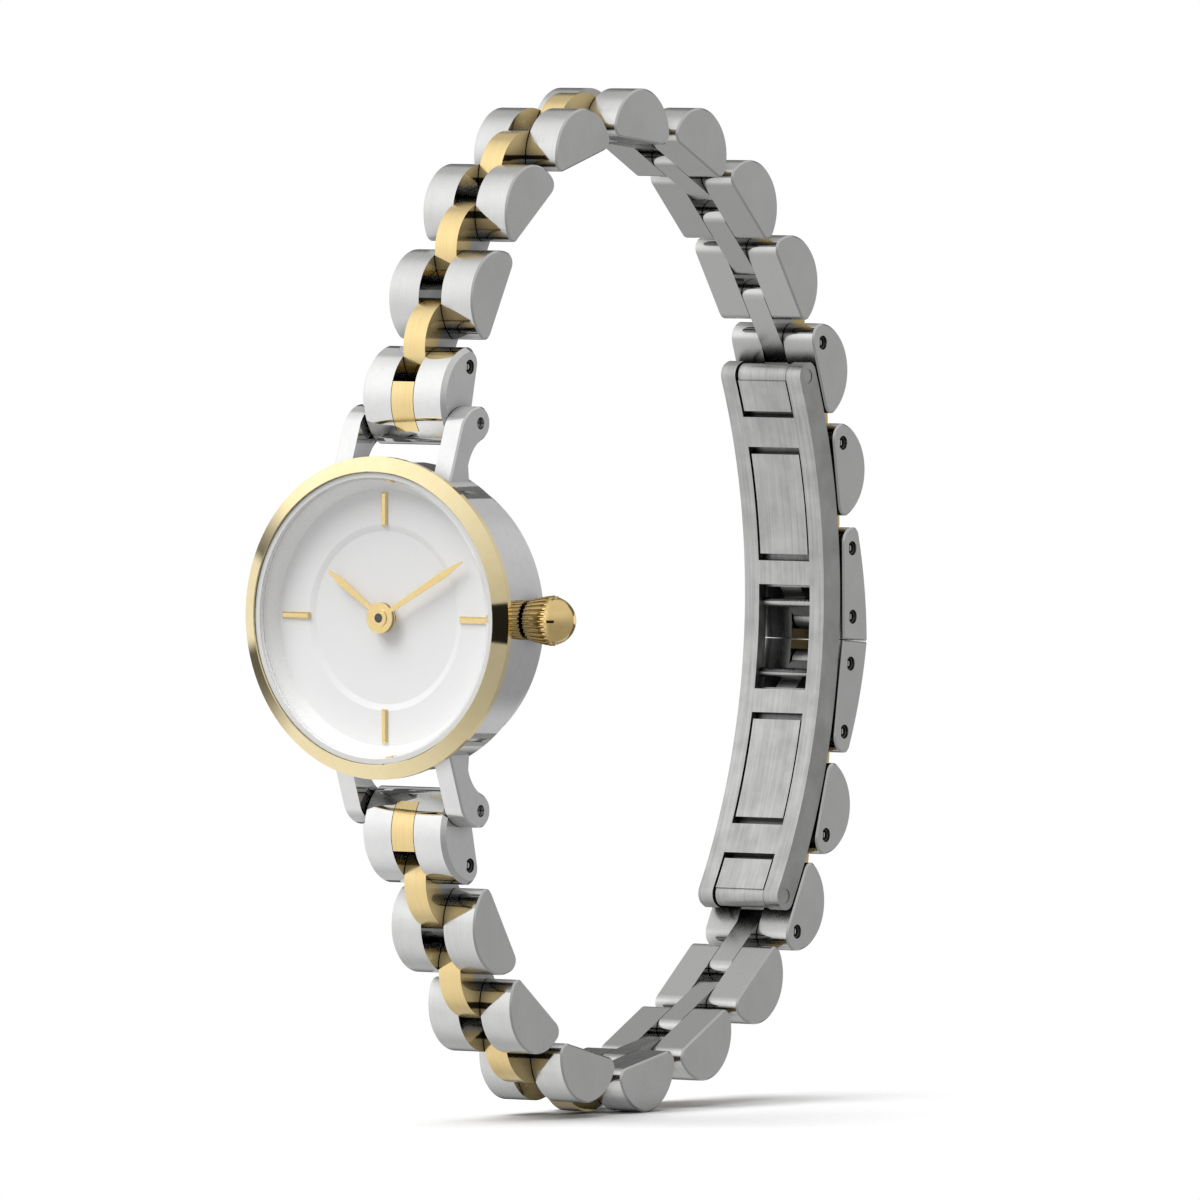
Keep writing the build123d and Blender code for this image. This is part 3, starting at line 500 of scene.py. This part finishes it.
@dataclass(frozen=True)
class DialFinish(CoatedFinish):
    """Dial lacquer with painted shade: a little darker in the sunken centre, most at the top
    where its step shades it.

    centre_top and centre_bottom are the light left at the centre's top and bottom, and step_half is
    half the width over which the tone changes.
    """

    centre_radius: float = 6.1
    step_half: float = 0.2
    centre_top: float = 0.95
    centre_bottom: float = 1.0

    def with_painted_shade(
        self, tree: bpy.types.NodeTree, colour: bpy.types.NodeSocket
    ) -> bpy.types.NodeSocket:
        """The lacquer's colour with the painted shade in its sunken centre.

        Args:
            tree: the material's tree.
            colour: the even colour.

        Returns:
            The changed colour's socket.
        """
        # Painted shade: the sunken centre is drawn darker, most towards its top
        place = add_node(tree, "ShaderNodeTexCoord").outputs["Object"]
        flat = add_node(tree, "ShaderNodeVectorMath", {
            0: place, 1: (1.0, 0.0, 1.0),
        }, operation="MULTIPLY")
        radius = add_node(tree, "ShaderNodeVectorMath", {
            0: flat.outputs["Vector"],
        }, operation="LENGTH")
        inside = add_node(tree, "ShaderNodeMapRange", {
            "Value": radius.outputs["Value"],
            "From Min": (self.centre_radius + self.step_half) * MM,
            "From Max": (self.centre_radius - self.step_half) * MM,
        }, interpolation_type="SMOOTHSTEP")
        height = add_node(tree, "ShaderNodeSeparateXYZ", {0: place})
        level = add_node(tree, "ShaderNodeMapRange", {
            "Value": height.outputs["Z"],
            "From Min": -self.centre_radius * MM, "From Max": self.centre_radius * MM,
            "To Min": self.centre_bottom, "To Max": self.centre_top,
        }, interpolation_type="SMOOTHSTEP")
        light_left = add_node(tree, "ShaderNodeMix", {
            0: inside.outputs["Result"], 2: 1.0, 3: level.outputs["Result"],
        }, data_type="FLOAT")
        return add_node(tree, "ShaderNodeVectorMath", {
            0: colour, "Scale": light_left.outputs[0],
        }, operation="SCALE").outputs["Vector"]


# Satin white dial lacquer: soft and even, with a very fine tooth that takes the glare off, and
# painted shade in its sunken centre
DIAL_LACQUER = DialFinish(
    name="satin_white_dial_lacquer", pale="#F4F4F4", deep="#F0F0F0", roughness=0.38,
    tooth_width=0.12, tooth_depth=0.0008, coat=0.15,
)
# White lacquered brass of the ring between dial and glass: the same white, a little glossier
RING_LACQUER = CoatedFinish(
    name="white_lacquered_brass_ring", pale="#F7F7F6", deep="#F1F1F0", roughness=0.3,
    tooth_width=0.2, tooth_depth=0.0004, coat=0.3,
)
# Natural nylon of the seals: milky and half matt
NYLON_SEAL = CoatedFinish(
    name="natural_nylon_seal", pale="#ECECEA", deep="#DEDEDB", roughness=0.45,
    tooth_width=0.1, tooth_depth=0.0006,
)


@dataclass(frozen=True)
class GlassFinish:
    """Clear glass with faint wide smears in its polish. smear_span is where the noise shows."""

    name: str
    colour: str
    index: float
    smear_width: float
    smear_roughness: float
    smear_span: tuple[float, float] = (0.35, 0.65)

    def material(self) -> bpy.types.Material:
        """Builds the glass. Lamps and soft light pass straight through it to the dial.

        Returns:
            The material.
        """
        material, tree, output = new_material(self.name)
        place = add_node(tree, "ShaderNodeTexCoord").outputs["Object"]
        smear = add_node(tree, "ShaderNodeTexNoise", {
            "Vector": place, "Scale": 1 / (self.smear_width * MM), "Detail": 2.0,
        })
        rough = add_node(tree, "ShaderNodeMapRange", {
            "Value": smear.outputs["Fac"], "From Min": self.smear_span[0],
            "From Max": self.smear_span[1], "To Min": 0.0, "To Max": self.smear_roughness,
        })
        glass = add_node(tree, "ShaderNodeBsdfPrincipled", {
            "Base Color": linear(self.colour), "Roughness": rough.outputs["Result"],
            "IOR": self.index, "Transmission Weight": 1.0,
        })
        clear = add_node(tree, "ShaderNodeBsdfTransparent", {"Color": linear(self.colour)})
        path = add_node(tree, "ShaderNodeLightPath")
        passing = add_node(tree, "ShaderNodeMath", {
            0: path.outputs["Is Shadow Ray"], 1: path.outputs["Is Diffuse Ray"],
        }, operation="MAXIMUM")
        mix = add_node(tree, "ShaderNodeMixShader", {
            0: passing.outputs[0], 1: glass.outputs["BSDF"], 2: clear.outputs["BSDF"],
        })
        tree.links.new(mix.outputs["Shader"], output.inputs["Surface"])
        return material


# Polished mineral glass of the crystal: it shows the dial as it is, with a soft shine on its bevel
MINERAL_GLASS = GlassFinish(
    name="polished_mineral_glass", colour="#FFFFFF", index=1.52, smear_width=4.0,
    smear_roughness=0.003,
)

Finish = MetalFinish | CoatedFinish | GlassFinish


@dataclass
class SmoothSkin:
    """Shades a CAD solid smoothly across its facets and keeps the edges sharper than an angle."""

    merge: float = 0.0005
    sharp_degrees: float = 28.0
    tree: bpy.types.NodeTree = field(init=False)

    def __post_init__(self) -> None:
        """Makes the modifier's node group once."""
        tree = bpy.data.node_groups.new("smooth_skin", "GeometryNodeTree")
        tree.interface.new_socket("Geometry", in_out="INPUT", socket_type="NodeSocketGeometry")
        tree.interface.new_socket("Geometry", in_out="OUTPUT", socket_type="NodeSocketGeometry")
        start = add_node(tree, "NodeGroupInput")
        bare = add_node(tree, "GeometryNodeRemoveAttribute", {
            "Geometry": start.outputs[0], "Name": "custom_normal",
        })
        merged = add_node(tree, "GeometryNodeMergeByDistance", {
            "Geometry": bare.outputs[0], "Distance": self.merge * MM,
        })
        angle = add_node(tree, "GeometryNodeInputMeshEdgeAngle")
        sharp = add_node(tree, "FunctionNodeCompare", {
            0: angle.outputs["Unsigned Angle"], 1: math.radians(self.sharp_degrees),
        }, data_type="FLOAT", operation="GREATER_THAN")
        edges = add_node(tree, "GeometryNodeSetShadeSmooth", {
            "Geometry": merged.outputs[0], "Selection": sharp.outputs["Result"],
            "Shade Smooth": False,
        }, domain="EDGE")
        faces = add_node(tree, "GeometryNodeSetShadeSmooth", {
            "Geometry": edges.outputs[0], "Shade Smooth": True,
        }, domain="FACE")
        add_node(tree, "NodeGroupOutput", {0: faces.outputs[0]})
        self.tree = tree

    def put_on(self, node: bpy.types.Object) -> None:
        """Gives a CAD node the skin, and normals that keep its flat faces flat.

        Args:
            node: the node, whose own mesh isn't changed.
        """
        smooth = node.modifiers.new("smooth_skin", "NODES")
        smooth.node_group = self.tree
        weighted = node.modifiers.new("flat_faces", "WEIGHTED_NORMAL")
        weighted.keep_sharp = True


@dataclass
class Wardrobe:
    """The finishes that have been built, so that each material is made once."""

    made: dict[str, bpy.types.Material] = field(default_factory=dict)

    def get(self, finish: Finish) -> bpy.types.Material:
        """The material of a finish.

        Args:
            finish: the finish.

        Returns:
            Its material, which is built when it is first asked for.
        """
        if finish.name not in self.made:
            self.made[finish.name] = finish.material()
        return self.made[finish.name]


@dataclass
class Dresser:
    """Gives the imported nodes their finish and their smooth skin."""

    nodes: dict[str, bpy.types.Object]
    wardrobe: Wardrobe
    skin: SmoothSkin

    def dress(self, name: str, finish: Finish, skin: SmoothSkin | None = None) -> None:
        """Dresses one CAD node.

        Args:
            name: the node's name.
            finish: what its surface is.
            skin: its own skin, if it isn't the common one.
        """
        node = self.nodes[name]
        for slot in node.material_slots:
            slot.material = self.wardrobe.get(finish)
        (skin or self.skin).put_on(node)
        log.info("%s: %s", name, finish.name)


@dataclass
class Head:
    """The case, the dial under its glass, the hands and the crown.

    The step round the dial's centre is so shallow that the dial needs a smaller sharp angle.
    """

    dresser: Dresser
    dial_sharp_degrees: float = 8.0

    def dress(self) -> None:
        """Gives each part of the head its finish."""
        finishes = {
            "case_middle": POLISHED_STEEL,
            "bezel": POLISHED_GOLD,
            "crystal": MINERAL_GLASS,
            "gaskets": NYLON_SEAL,
            "rehaut_ring": RING_LACQUER,
            "hour_markers": CUT_GOLD,
            "hour_hand": CUT_GOLD,
            "minute_hand": CUT_GOLD,
            "crown": CROWN_GOLD,
            "winding_stem": POLISHED_STEEL,
            "movement": NICKEL_BRASS,
            "battery": CELL_STEEL,
            "case_back": POLISHED_STEEL,
            "upper_spring_bar": POLISHED_STEEL,
        }
        for name, finish in finishes.items():
            self.dresser.dress(name, finish)
        dial_skin = SmoothSkin(sharp_degrees=self.dial_sharp_degrees)
        self.dresser.dress("dial", DIAL_LACQUER, dial_skin)


@dataclass
class Bracelet:
    """The links above and below the head, with their gold centres."""

    dresser: Dresser

    def dress(self) -> None:
        """Gives each link and each centre its finish."""
        for name in sorted(self.dresser.nodes):
            if "_link" not in name:
                continue
            if name.endswith("_cap"):
                self.dresser.dress(name, SATIN_GOLD)
            elif "end_link" in name:
                self.dresser.dress(name, POLISHED_STEEL)
            else:
                self.dresser.dress(name, SATIN_STEEL)


@dataclass
class Clasp:
    """The two long rows, the folding arms and the base plate."""

    dresser: Dresser

    def dress(self) -> None:
        """Gives each part of the clasp its finish."""
        for side in ("upper", "lower"):
            self.dresser.dress(f"{side}_clasp_row", SATIN_STEEL)
            self.dresser.dress(f"{side}_clasp_row_cap", SATIN_GOLD)
            self.dresser.dress(f"{side}_clasp_arm", BRUSHED_STEEL)
        self.dresser.dress("clasp_base_plate", BRUSHED_STEEL)


# The joints on whose axes the ends of a removable pin show, for each body that carries them
PINNED_JOINTS = {
    "upper_end_link": ["upper_end_link_hinge"],
    "lower_end_link": ["lower_link_1_hinge"],
    "upper_link_8": ["upper_link_7_hinge"],
    "upper_clasp_link": ["upper_link_8_hinge"],
    "lower_link_7": ["lower_link_7_hinge"],
    "lower_clasp_link": ["lower_clasp_link_hinge"],
    "upper_clasp_row": ["upper_clasp_link_hinge", "upper_clasp_row_turn"],
    "lower_clasp_row": ["lower_clasp_row_hinge", "lower_clasp_arm_fold"],
}


@dataclass
class PinEnds:
    """The ends of the removable pins: a collar dark with painted shade in each hole, and a bright
    split pin inside it.

    The collar runs from its seat to collar_top, and the pin to pin_top, both measured outwards
    from the bracelet's middle. The slot is sunk from the faces whose normals rise by more than
    upward, and two points closer than touch count as one.
    """

    joints: list[dict]
    wardrobe: Wardrobe
    seat: float = 3.13
    collar_outer: float = 0.485
    collar_inner: float = 0.34
    collar_top: float = 3.36
    pin_radius: float = 0.26
    pin_top: float = 3.27
    pin_bevel: float = 0.05
    slot_half: float = 0.05
    slot_depth: float = 0.09
    segments: int = 24
    bevel_segments: int = 2
    upward: float = 0.9
    touch: float = 0.0001

    def split_pin(self, mesh: bmesh.types.BMesh) -> None:
        """A round pin end on the x axis, with a bevelled rim and a slot across it.

        Args:
            mesh: an empty mesh that gets the pin end.
        """
        length = self.pin_top - self.seat
        bmesh.ops.create_cone(
            mesh, cap_ends=True, segments=self.segments, radius1=self.pin_radius * MM,
            radius2=self.pin_radius * MM, depth=length * MM,
        )
        just_under_top = (length / 2 - self.touch) * MM
        rim = [
            edge for edge in mesh.edges if all(vert.co.z > just_under_top for vert in edge.verts)
        ]
        bmesh.ops.bevel(
            mesh, geom=rim, offset=self.pin_bevel * MM, segments=self.bevel_segments, profile=0.5,
            affect="EDGES", material=-1,
        )
        for across in (self.slot_half * MM, -self.slot_half * MM):
            bmesh.ops.bisect_plane(
                mesh, geom=mesh.verts[:] + mesh.edges[:] + mesh.faces[:],
                dist=self.touch * MM, plane_co=(0, across, 0), plane_no=(0, 1, 0),
            )
        mesh.normal_update()
        floor = [
            face for face in mesh.faces
            if face.normal.z > self.upward
            and abs(face.calc_center_median().y) < self.slot_half * MM / 2
        ]
        sunk = bmesh.ops.extrude_face_region(mesh, geom=floor)["geom"]
        moved = [item for item in sunk if isinstance(item, bmesh.types.BMVert)]
        bmesh.ops.delete(mesh, geom=floor, context="FACES_ONLY")
        bmesh.ops.translate(mesh, verts=moved, vec=(0, 0, -self.slot_depth * MM))
        turn = Z_AXIS.rotation_difference(X_AXIS).to_matrix().to_4x4()
        place = Matrix.Translation(X_AXIS * (self.seat + length / 2) * MM)
        bmesh.ops.transform(mesh, matrix=place @ turn, verts=mesh.verts)

    def collar(self, mesh: bmesh.types.BMesh) -> None:
        """A turned ring on the x axis, which fills the mouth of a hole.

        Args:
            mesh: what the ring is added to.
        """
        edge = (self.collar_outer - self.collar_inner) / 3
        outline = [
            (self.seat, self.collar_inner), (self.seat, self.collar_outer),
            (self.collar_top, self.collar_outer), (self.collar_top, self.collar_outer - edge),
            (self.collar_top - edge, self.collar_inner),
        ]
        corners = [mesh.verts.new((x * MM, 0, radius * MM)) for x, radius in outline]
        edges = [mesh.edges.new(pair) for pair in zip(corners, corners[1:] + corners[:1])]
        bmesh.ops.spin(
            mesh, geom=corners + edges, cent=(0, 0, 0), axis=X_AXIS, angle=math.tau,
            steps=self.segments, use_merge=True,
        )

    def both_sides(self, mesh: bmesh.types.BMesh, centres: list[Vector]) -> None:
        """Copies the one pin end to both sides of the bracelet at each joint.

        Args:
            mesh: the mesh that holds one pin end, which gives way to its copies.
            centres: where each pin's axis crosses the bracelet's middle.
        """
        pattern = mesh.verts[:] + mesh.edges[:] + mesh.faces[:]
        first = mesh.verts[:]
        for centre in centres:
            for side in (1, -1):
                copy = bmesh.ops.duplicate(mesh, geom=pattern)["geom"]
                verts = [item for item in copy if isinstance(item, bmesh.types.BMVert)]
                place = Matrix.Translation(centre) @ Matrix.Diagonal((side, 1, 1, 1))
                bmesh.ops.transform(mesh, matrix=place, verts=verts)
        bmesh.ops.delete(mesh, geom=first, context="VERTS")
        bmesh.ops.recalc_face_normals(mesh, faces=mesh.faces)

    def build(self) -> None:
        """Makes one piece for each body that shows pin ends."""
        places = {
            joint["name"]: Vector(joint["pos_m"]) for joint in self.joints if "pos_m" in joint
        }
        for body, joints in PINNED_JOINTS.items():
            mesh = bmesh.new()
            self.split_pin(mesh)
            pin_faces = set(mesh.faces)
            self.collar(mesh)
            for face in mesh.faces:
                face.material_index = 0 if face in pin_faces else 1
            self.both_sides(mesh, [places[joint] for joint in joints])
            data = bpy.data.meshes.new(f"{body}_pin_ends")
            mesh.to_mesh(data)
            mesh.free()
            data.materials.append(self.wardrobe.get(POLISHED_STEEL))
            # Painted shade: the collar's dark steel stands in for the shade inside the hole
            data.materials.append(self.wardrobe.get(SHADED_BORE_STEEL))
            piece = bpy.data.objects.new(f"{body}_pin_ends", data)
            bpy.context.scene.collection.objects.link(piece)
            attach(piece, body)
            log.info("%s_pin_ends: %s", body, POLISHED_STEEL.name)


@dataclass(frozen=True)
class PhotoCamera:
    """The photograph's view through a long lens, with its angles in degrees.

    The picture's centre lies aim_right and aim_up from the dial's centre, as the camera sees it.
    """

    azimuth: float = 35.0
    elevation: float = 2.3
    lens: float = 600.0
    sensor: float = 36.0
    distance: float = 1360.5
    nearest: float = 100.0
    farthest: float = 20000.0
    dial_centre: tuple[float, float, float] = (0.0, -4.95, 0.0)
    aim_right: float = 14.42
    aim_up: float = 1.19

    def build(self) -> None:
        """Puts the camera where the photograph was taken from."""
        turn = math.radians(self.azimuth)
        rise = math.radians(self.elevation)
        right = Vector((math.cos(turn), math.sin(turn), 0))
        forward = Vector((
            -math.sin(turn) * math.cos(rise), math.cos(turn) * math.cos(rise), -math.sin(rise),
        ))
        up = right.cross(forward)
        data = bpy.data.cameras.new("camera")
        data.lens = self.lens
        data.sensor_width = self.sensor
        data.clip_start = self.nearest * MM
        data.clip_end = self.farthest * MM
        camera = bpy.data.objects.new("camera", data)
        bpy.context.scene.collection.objects.link(camera)
        aim = Vector(self.dial_centre) + right * self.aim_right + up * self.aim_up
        camera.location = (aim - forward * self.distance) * MM
        camera.rotation_mode = "QUATERNION"
        camera.rotation_quaternion = forward.to_track_quat("-Z", "Y")
        bpy.context.scene.camera = camera


@dataclass(frozen=True)
class Softbox:
    """A broad soft lamp that no metal mirrors: where its light goes, and its spread in degrees."""

    name: str
    towards: tuple[float, float, float]
    strength: float
    spread: float

    def build(self) -> None:
        """Adds the lamp."""
        data = bpy.data.lights.new(self.name, "SUN")
        data.energy = self.strength
        data.angle = math.radians(self.spread)
        lamp = bpy.data.objects.new(self.name, data)
        lamp.visible_glossy = False
        lamp.rotation_mode = "QUATERNION"
        lamp.rotation_quaternion = Vector(self.towards).to_track_quat("-Z", "Y")
        bpy.context.scene.collection.objects.link(lamp)


# A key light from the upper left in front of the watch, and a wider one almost straight above
KEY_SOFTBOX = Softbox("key_softbox", towards=(0.4, 0.6, -0.8), strength=2.0, spread=35.0)
TOP_SOFTBOX = Softbox("top_softbox", towards=(0.05, 0.1, -1.0), strength=1.5, spread=50.0)


@dataclass(frozen=True)
class Lobe:
    """A level of light that changes with its direction.

    The level goes from the first of levels to the second while the cosine to the direction towards
    goes from the first of edges to the second.
    """

    towards: tuple[float, float, float]
    edges: tuple[float, float]
    levels: tuple[float, float]

    def level(self, tree: bpy.types.NodeTree) -> bpy.types.NodeSocket:
        """The level in the world's tree.

        Args:
            tree: the world's tree.

        Returns:
            The level's socket.
        """
        cosine = add_node(tree, "ShaderNodeVectorMath", {
            0: add_node(tree, "ShaderNodeTexCoord").outputs["Generated"],
            1: Vector(self.towards).normalized(),
        }, operation="DOT_PRODUCT")
        return add_node(tree, "ShaderNodeMapRange", {
            "Value": cosine.outputs["Value"],
            "From Min": self.edges[0], "From Max": self.edges[1],
            "To Min": self.levels[0], "To Max": self.levels[1],
        }, interpolation_type="SMOOTHERSTEP").outputs["Result"]


@dataclass(frozen=True)
class LightTent:
    """White behind the watch, and a light tent for the metal: bright in front, grey at the right.

    The camera looks in through a dark opening. Two dark flags hang behind the watch, over and
    under a bright middle. Heights are the z of a direction, from -1 straight down to 1 straight
    up, and a pair of heights is where an edge begins and ends.
    """

    front: Lobe = Lobe(towards=(-1.0, -0.6, 0.0), edges=(0.0, 0.95), levels=(0.5, 1.06))
    sky: Lobe = Lobe(towards=(0.0, 0.0, 1.0), edges=(-0.5, 0.7), levels=(-0.16, 0.16))
    back: Lobe = Lobe(towards=(-0.64, 0.77, 0.0), edges=(0.42, 0.62), levels=(0.0, 1.0))
    opening: Lobe = Lobe(towards=(0.42, -0.9, 0.0), edges=(0.945, 0.952), levels=(1.0, 0.0))
    opening_height: float = -0.05
    opening_half: tuple[float, float] = (0.105, 0.125)
    opening_level: float = 0.03
    flag_bottom: tuple[float, float] = (0.1, 0.15)
    flag_top: tuple[float, float] = (0.47, 0.53)
    middle_level: float = 0.9
    flag_level: float = 0.12
    beyond_level: float = 0.57
    diffuse_level: float = 0.43
    backdrop_level: float = 1.0

    def height(self, tree: bpy.types.NodeTree, middle: float) -> bpy.types.NodeSocket:
        """How far a direction lies above or below a height.

        Args:
            tree: the world's tree.
            middle: the height.

        Returns:
            The distance's socket.
        """
        direction = add_node(tree, "ShaderNodeTexCoord").outputs["Generated"]
        parts = add_node(tree, "ShaderNodeSeparateXYZ", {0: direction})
        apart = add_node(tree, "ShaderNodeMath", {
            0: parts.outputs["Z"], 1: middle,
        }, operation="SUBTRACT")
        return add_node(tree, "ShaderNodeMath", {
            0: apart.outputs[0],
        }, operation="ABSOLUTE").outputs[0]

    def camera_opening(self, tree: bpy.types.NodeTree) -> bpy.types.NodeSocket:
        """The dark opening in the front of the tent.

        Args:
            tree: the world's tree.

        Returns:
            A level that is low in the opening and 1 round it.
        """
        tall = add_node(tree, "ShaderNodeMapRange", {
            "Value": self.height(tree, self.opening_height),
            "From Min": self.opening_half[0], "From Max": self.opening_half[1],
        }, interpolation_type="SMOOTHSTEP")
        outside = add_node(tree, "ShaderNodeMath", {
            0: self.opening.level(tree), 1: tall.outputs["Result"],
        }, operation="MAXIMUM")
        return add_node(tree, "ShaderNodeMath", {
            0: outside.outputs[0], 1: self.opening_level,
        }, operation="MAXIMUM").outputs[0]

    def flags(self, tree: bpy.types.NodeTree) -> bpy.types.NodeSocket:
        """The back of the tent: a bright middle between two dark flags, and grey beyond them.

        Args:
            tree: the world's tree.

        Returns:
            The level's socket.
        """
        height = self.height(tree, 0.0)
        middle = add_node(tree, "ShaderNodeMapRange", {
            "Value": height, "From Min": self.flag_bottom[0], "From Max": self.flag_bottom[1],
            "To Min": self.middle_level, "To Max": self.flag_level,
        }, interpolation_type="SMOOTHSTEP")
        beyond = add_node(tree, "ShaderNodeMapRange", {
            "Value": height, "From Min": self.flag_top[0], "From Max": self.flag_top[1],
            "To Min": 0.0, "To Max": self.beyond_level - self.flag_level,
        }, interpolation_type="SMOOTHSTEP")
        return add_node(tree, "ShaderNodeMath", {
            0: middle.outputs["Result"], 1: beyond.outputs["Result"],
        }, operation="ADD").outputs[0]

    def build(self) -> None:
        """Makes the world: one level for mirrors, one for soft light and one for the backdrop."""
        world = bpy.data.worlds.new("light_tent")
        world.use_nodes = True
        tree = world.node_tree
        tree.nodes.clear()
        front = add_node(tree, "ShaderNodeMath", {
            0: self.front.level(tree), 1: self.sky.level(tree),
        }, operation="ADD")
        tent = add_node(tree, "ShaderNodeMix", {
            0: self.back.level(tree), 2: front.outputs[0], 3: self.flags(tree),
        }, data_type="FLOAT")
        mirrored = add_node(tree, "ShaderNodeMath", {
            0: tent.outputs[0], 1: self.camera_opening(tree),
        }, operation="MULTIPLY")
        path = add_node(tree, "ShaderNodeLightPath")
        lit = add_node(tree, "ShaderNodeMix", {
            0: path.outputs["Is Diffuse Ray"], 2: mirrored.outputs[0], 3: self.diffuse_level,
        }, data_type="FLOAT")
        level = add_node(tree, "ShaderNodeMix", {
            0: path.outputs["Is Camera Ray"], 2: lit.outputs[0], 3: self.backdrop_level,
        }, data_type="FLOAT")
        light = add_node(tree, "ShaderNodeBackground", {
            "Color": (1, 1, 1, 1), "Strength": level.outputs[0],
        })
        add_node(tree, "ShaderNodeOutputWorld", {"Surface": light.outputs["Background"]})
        bpy.context.scene.world = world


@dataclass
class Studio:
    """The camera, the light and the white floor that keeps the watch's shadow.

    The foot is the point of the floor under the watch's middle. The floor is whole within
    floor_whole of it, and has given way to the white backdrop at floor_gone.
    """

    foot: Vector
    floor_half: float = 100.0
    floor_whole: float = 12.0
    floor_gone: float = 34.0
    floor_colour: str = "#F4F4F4"
    camera: PhotoCamera = PhotoCamera()
    tent: LightTent = LightTent()
    lamps: tuple[Softbox, ...] = (KEY_SOFTBOX, TOP_SOFTBOX)

    def floor_material(self) -> bpy.types.Material:
        """Matt white card with no shine, which is clear from below, far out and to the metal.

        Returns:
            The material.
        """
        material, tree, output = new_material("matt_white_card")
        matt = add_node(tree, "ShaderNodeBsdfDiffuse", {"Color": linear(self.floor_colour)})
        clear = add_node(tree, "ShaderNodeBsdfTransparent")
        distance = add_node(tree, "ShaderNodeVectorMath", {
            0: add_node(tree, "ShaderNodeTexCoord").outputs["Object"], 1: self.foot,
        }, operation="DISTANCE")
        far = add_node(tree, "ShaderNodeMapRange", {
            "Value": distance.outputs["Value"],
            "From Min": self.floor_whole * MM, "From Max": self.floor_gone * MM,
        }, interpolation_type="SMOOTHSTEP")
        unseen = add_node(tree, "ShaderNodeMath", {
            0: add_node(tree, "ShaderNodeNewGeometry").outputs["Backfacing"],
            1: add_node(tree, "ShaderNodeLightPath").outputs["Is Glossy Ray"],
        }, operation="MAXIMUM")
        gone = add_node(tree, "ShaderNodeMath", {
            0: unseen.outputs[0], 1: far.outputs["Result"],
        }, operation="MAXIMUM")
        mix = add_node(tree, "ShaderNodeMixShader", {
            0: gone.outputs[0], 1: matt.outputs["BSDF"], 2: clear.outputs["BSDF"],
        })
        tree.links.new(mix.outputs["Shader"], output.inputs["Surface"])
        return material

    def floor(self) -> None:
        """Lays the floor under the watch."""
        mesh = bmesh.new()
        bmesh.ops.create_grid(mesh, x_segments=1, y_segments=1, size=self.floor_half * MM)
        bmesh.ops.translate(mesh, verts=mesh.verts, vec=self.foot)
        data = bpy.data.meshes.new("floor")
        mesh.to_mesh(data)
        mesh.free()
        data.materials.append(self.floor_material())
        floor = bpy.data.objects.new("studio_floor", data)
        bpy.context.scene.collection.objects.link(floor)
        floor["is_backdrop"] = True

    def build(self) -> None:
        """Sets up the camera, the floor and the light."""
        self.camera.build()
        self.floor()
        self.tent.build()
        for lamp in self.lamps:
            lamp.build()
        bpy.context.scene.view_settings.view_transform = "Standard"


def corners(box: tuple[Vector, Vector]) -> list[list[float]]:
    """The two corners of a box as plain lists."""
    return [list(corner) for corner in box]


def main() -> None:
    """Loads the frame, dresses it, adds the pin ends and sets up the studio."""
    logging.basicConfig(level=logging.INFO, format="%(message)s")
    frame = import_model()
    cad_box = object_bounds()
    wardrobe = Wardrobe()
    dresser = Dresser(frame["nodes"], wardrobe, SmoothSkin())
    Head(dresser).dress()
    Bracelet(dresser).dress()
    Clasp(dresser).dress()
    PinEnds(frame["joints"], wardrobe).build()
    lowest, highest = cad_box
    foot = Vector((0, (lowest.y + highest.y) / 2, lowest.z - FLOOR_GAP * MM))
    Studio(foot).build()


if __name__ == "__main__":
    main()
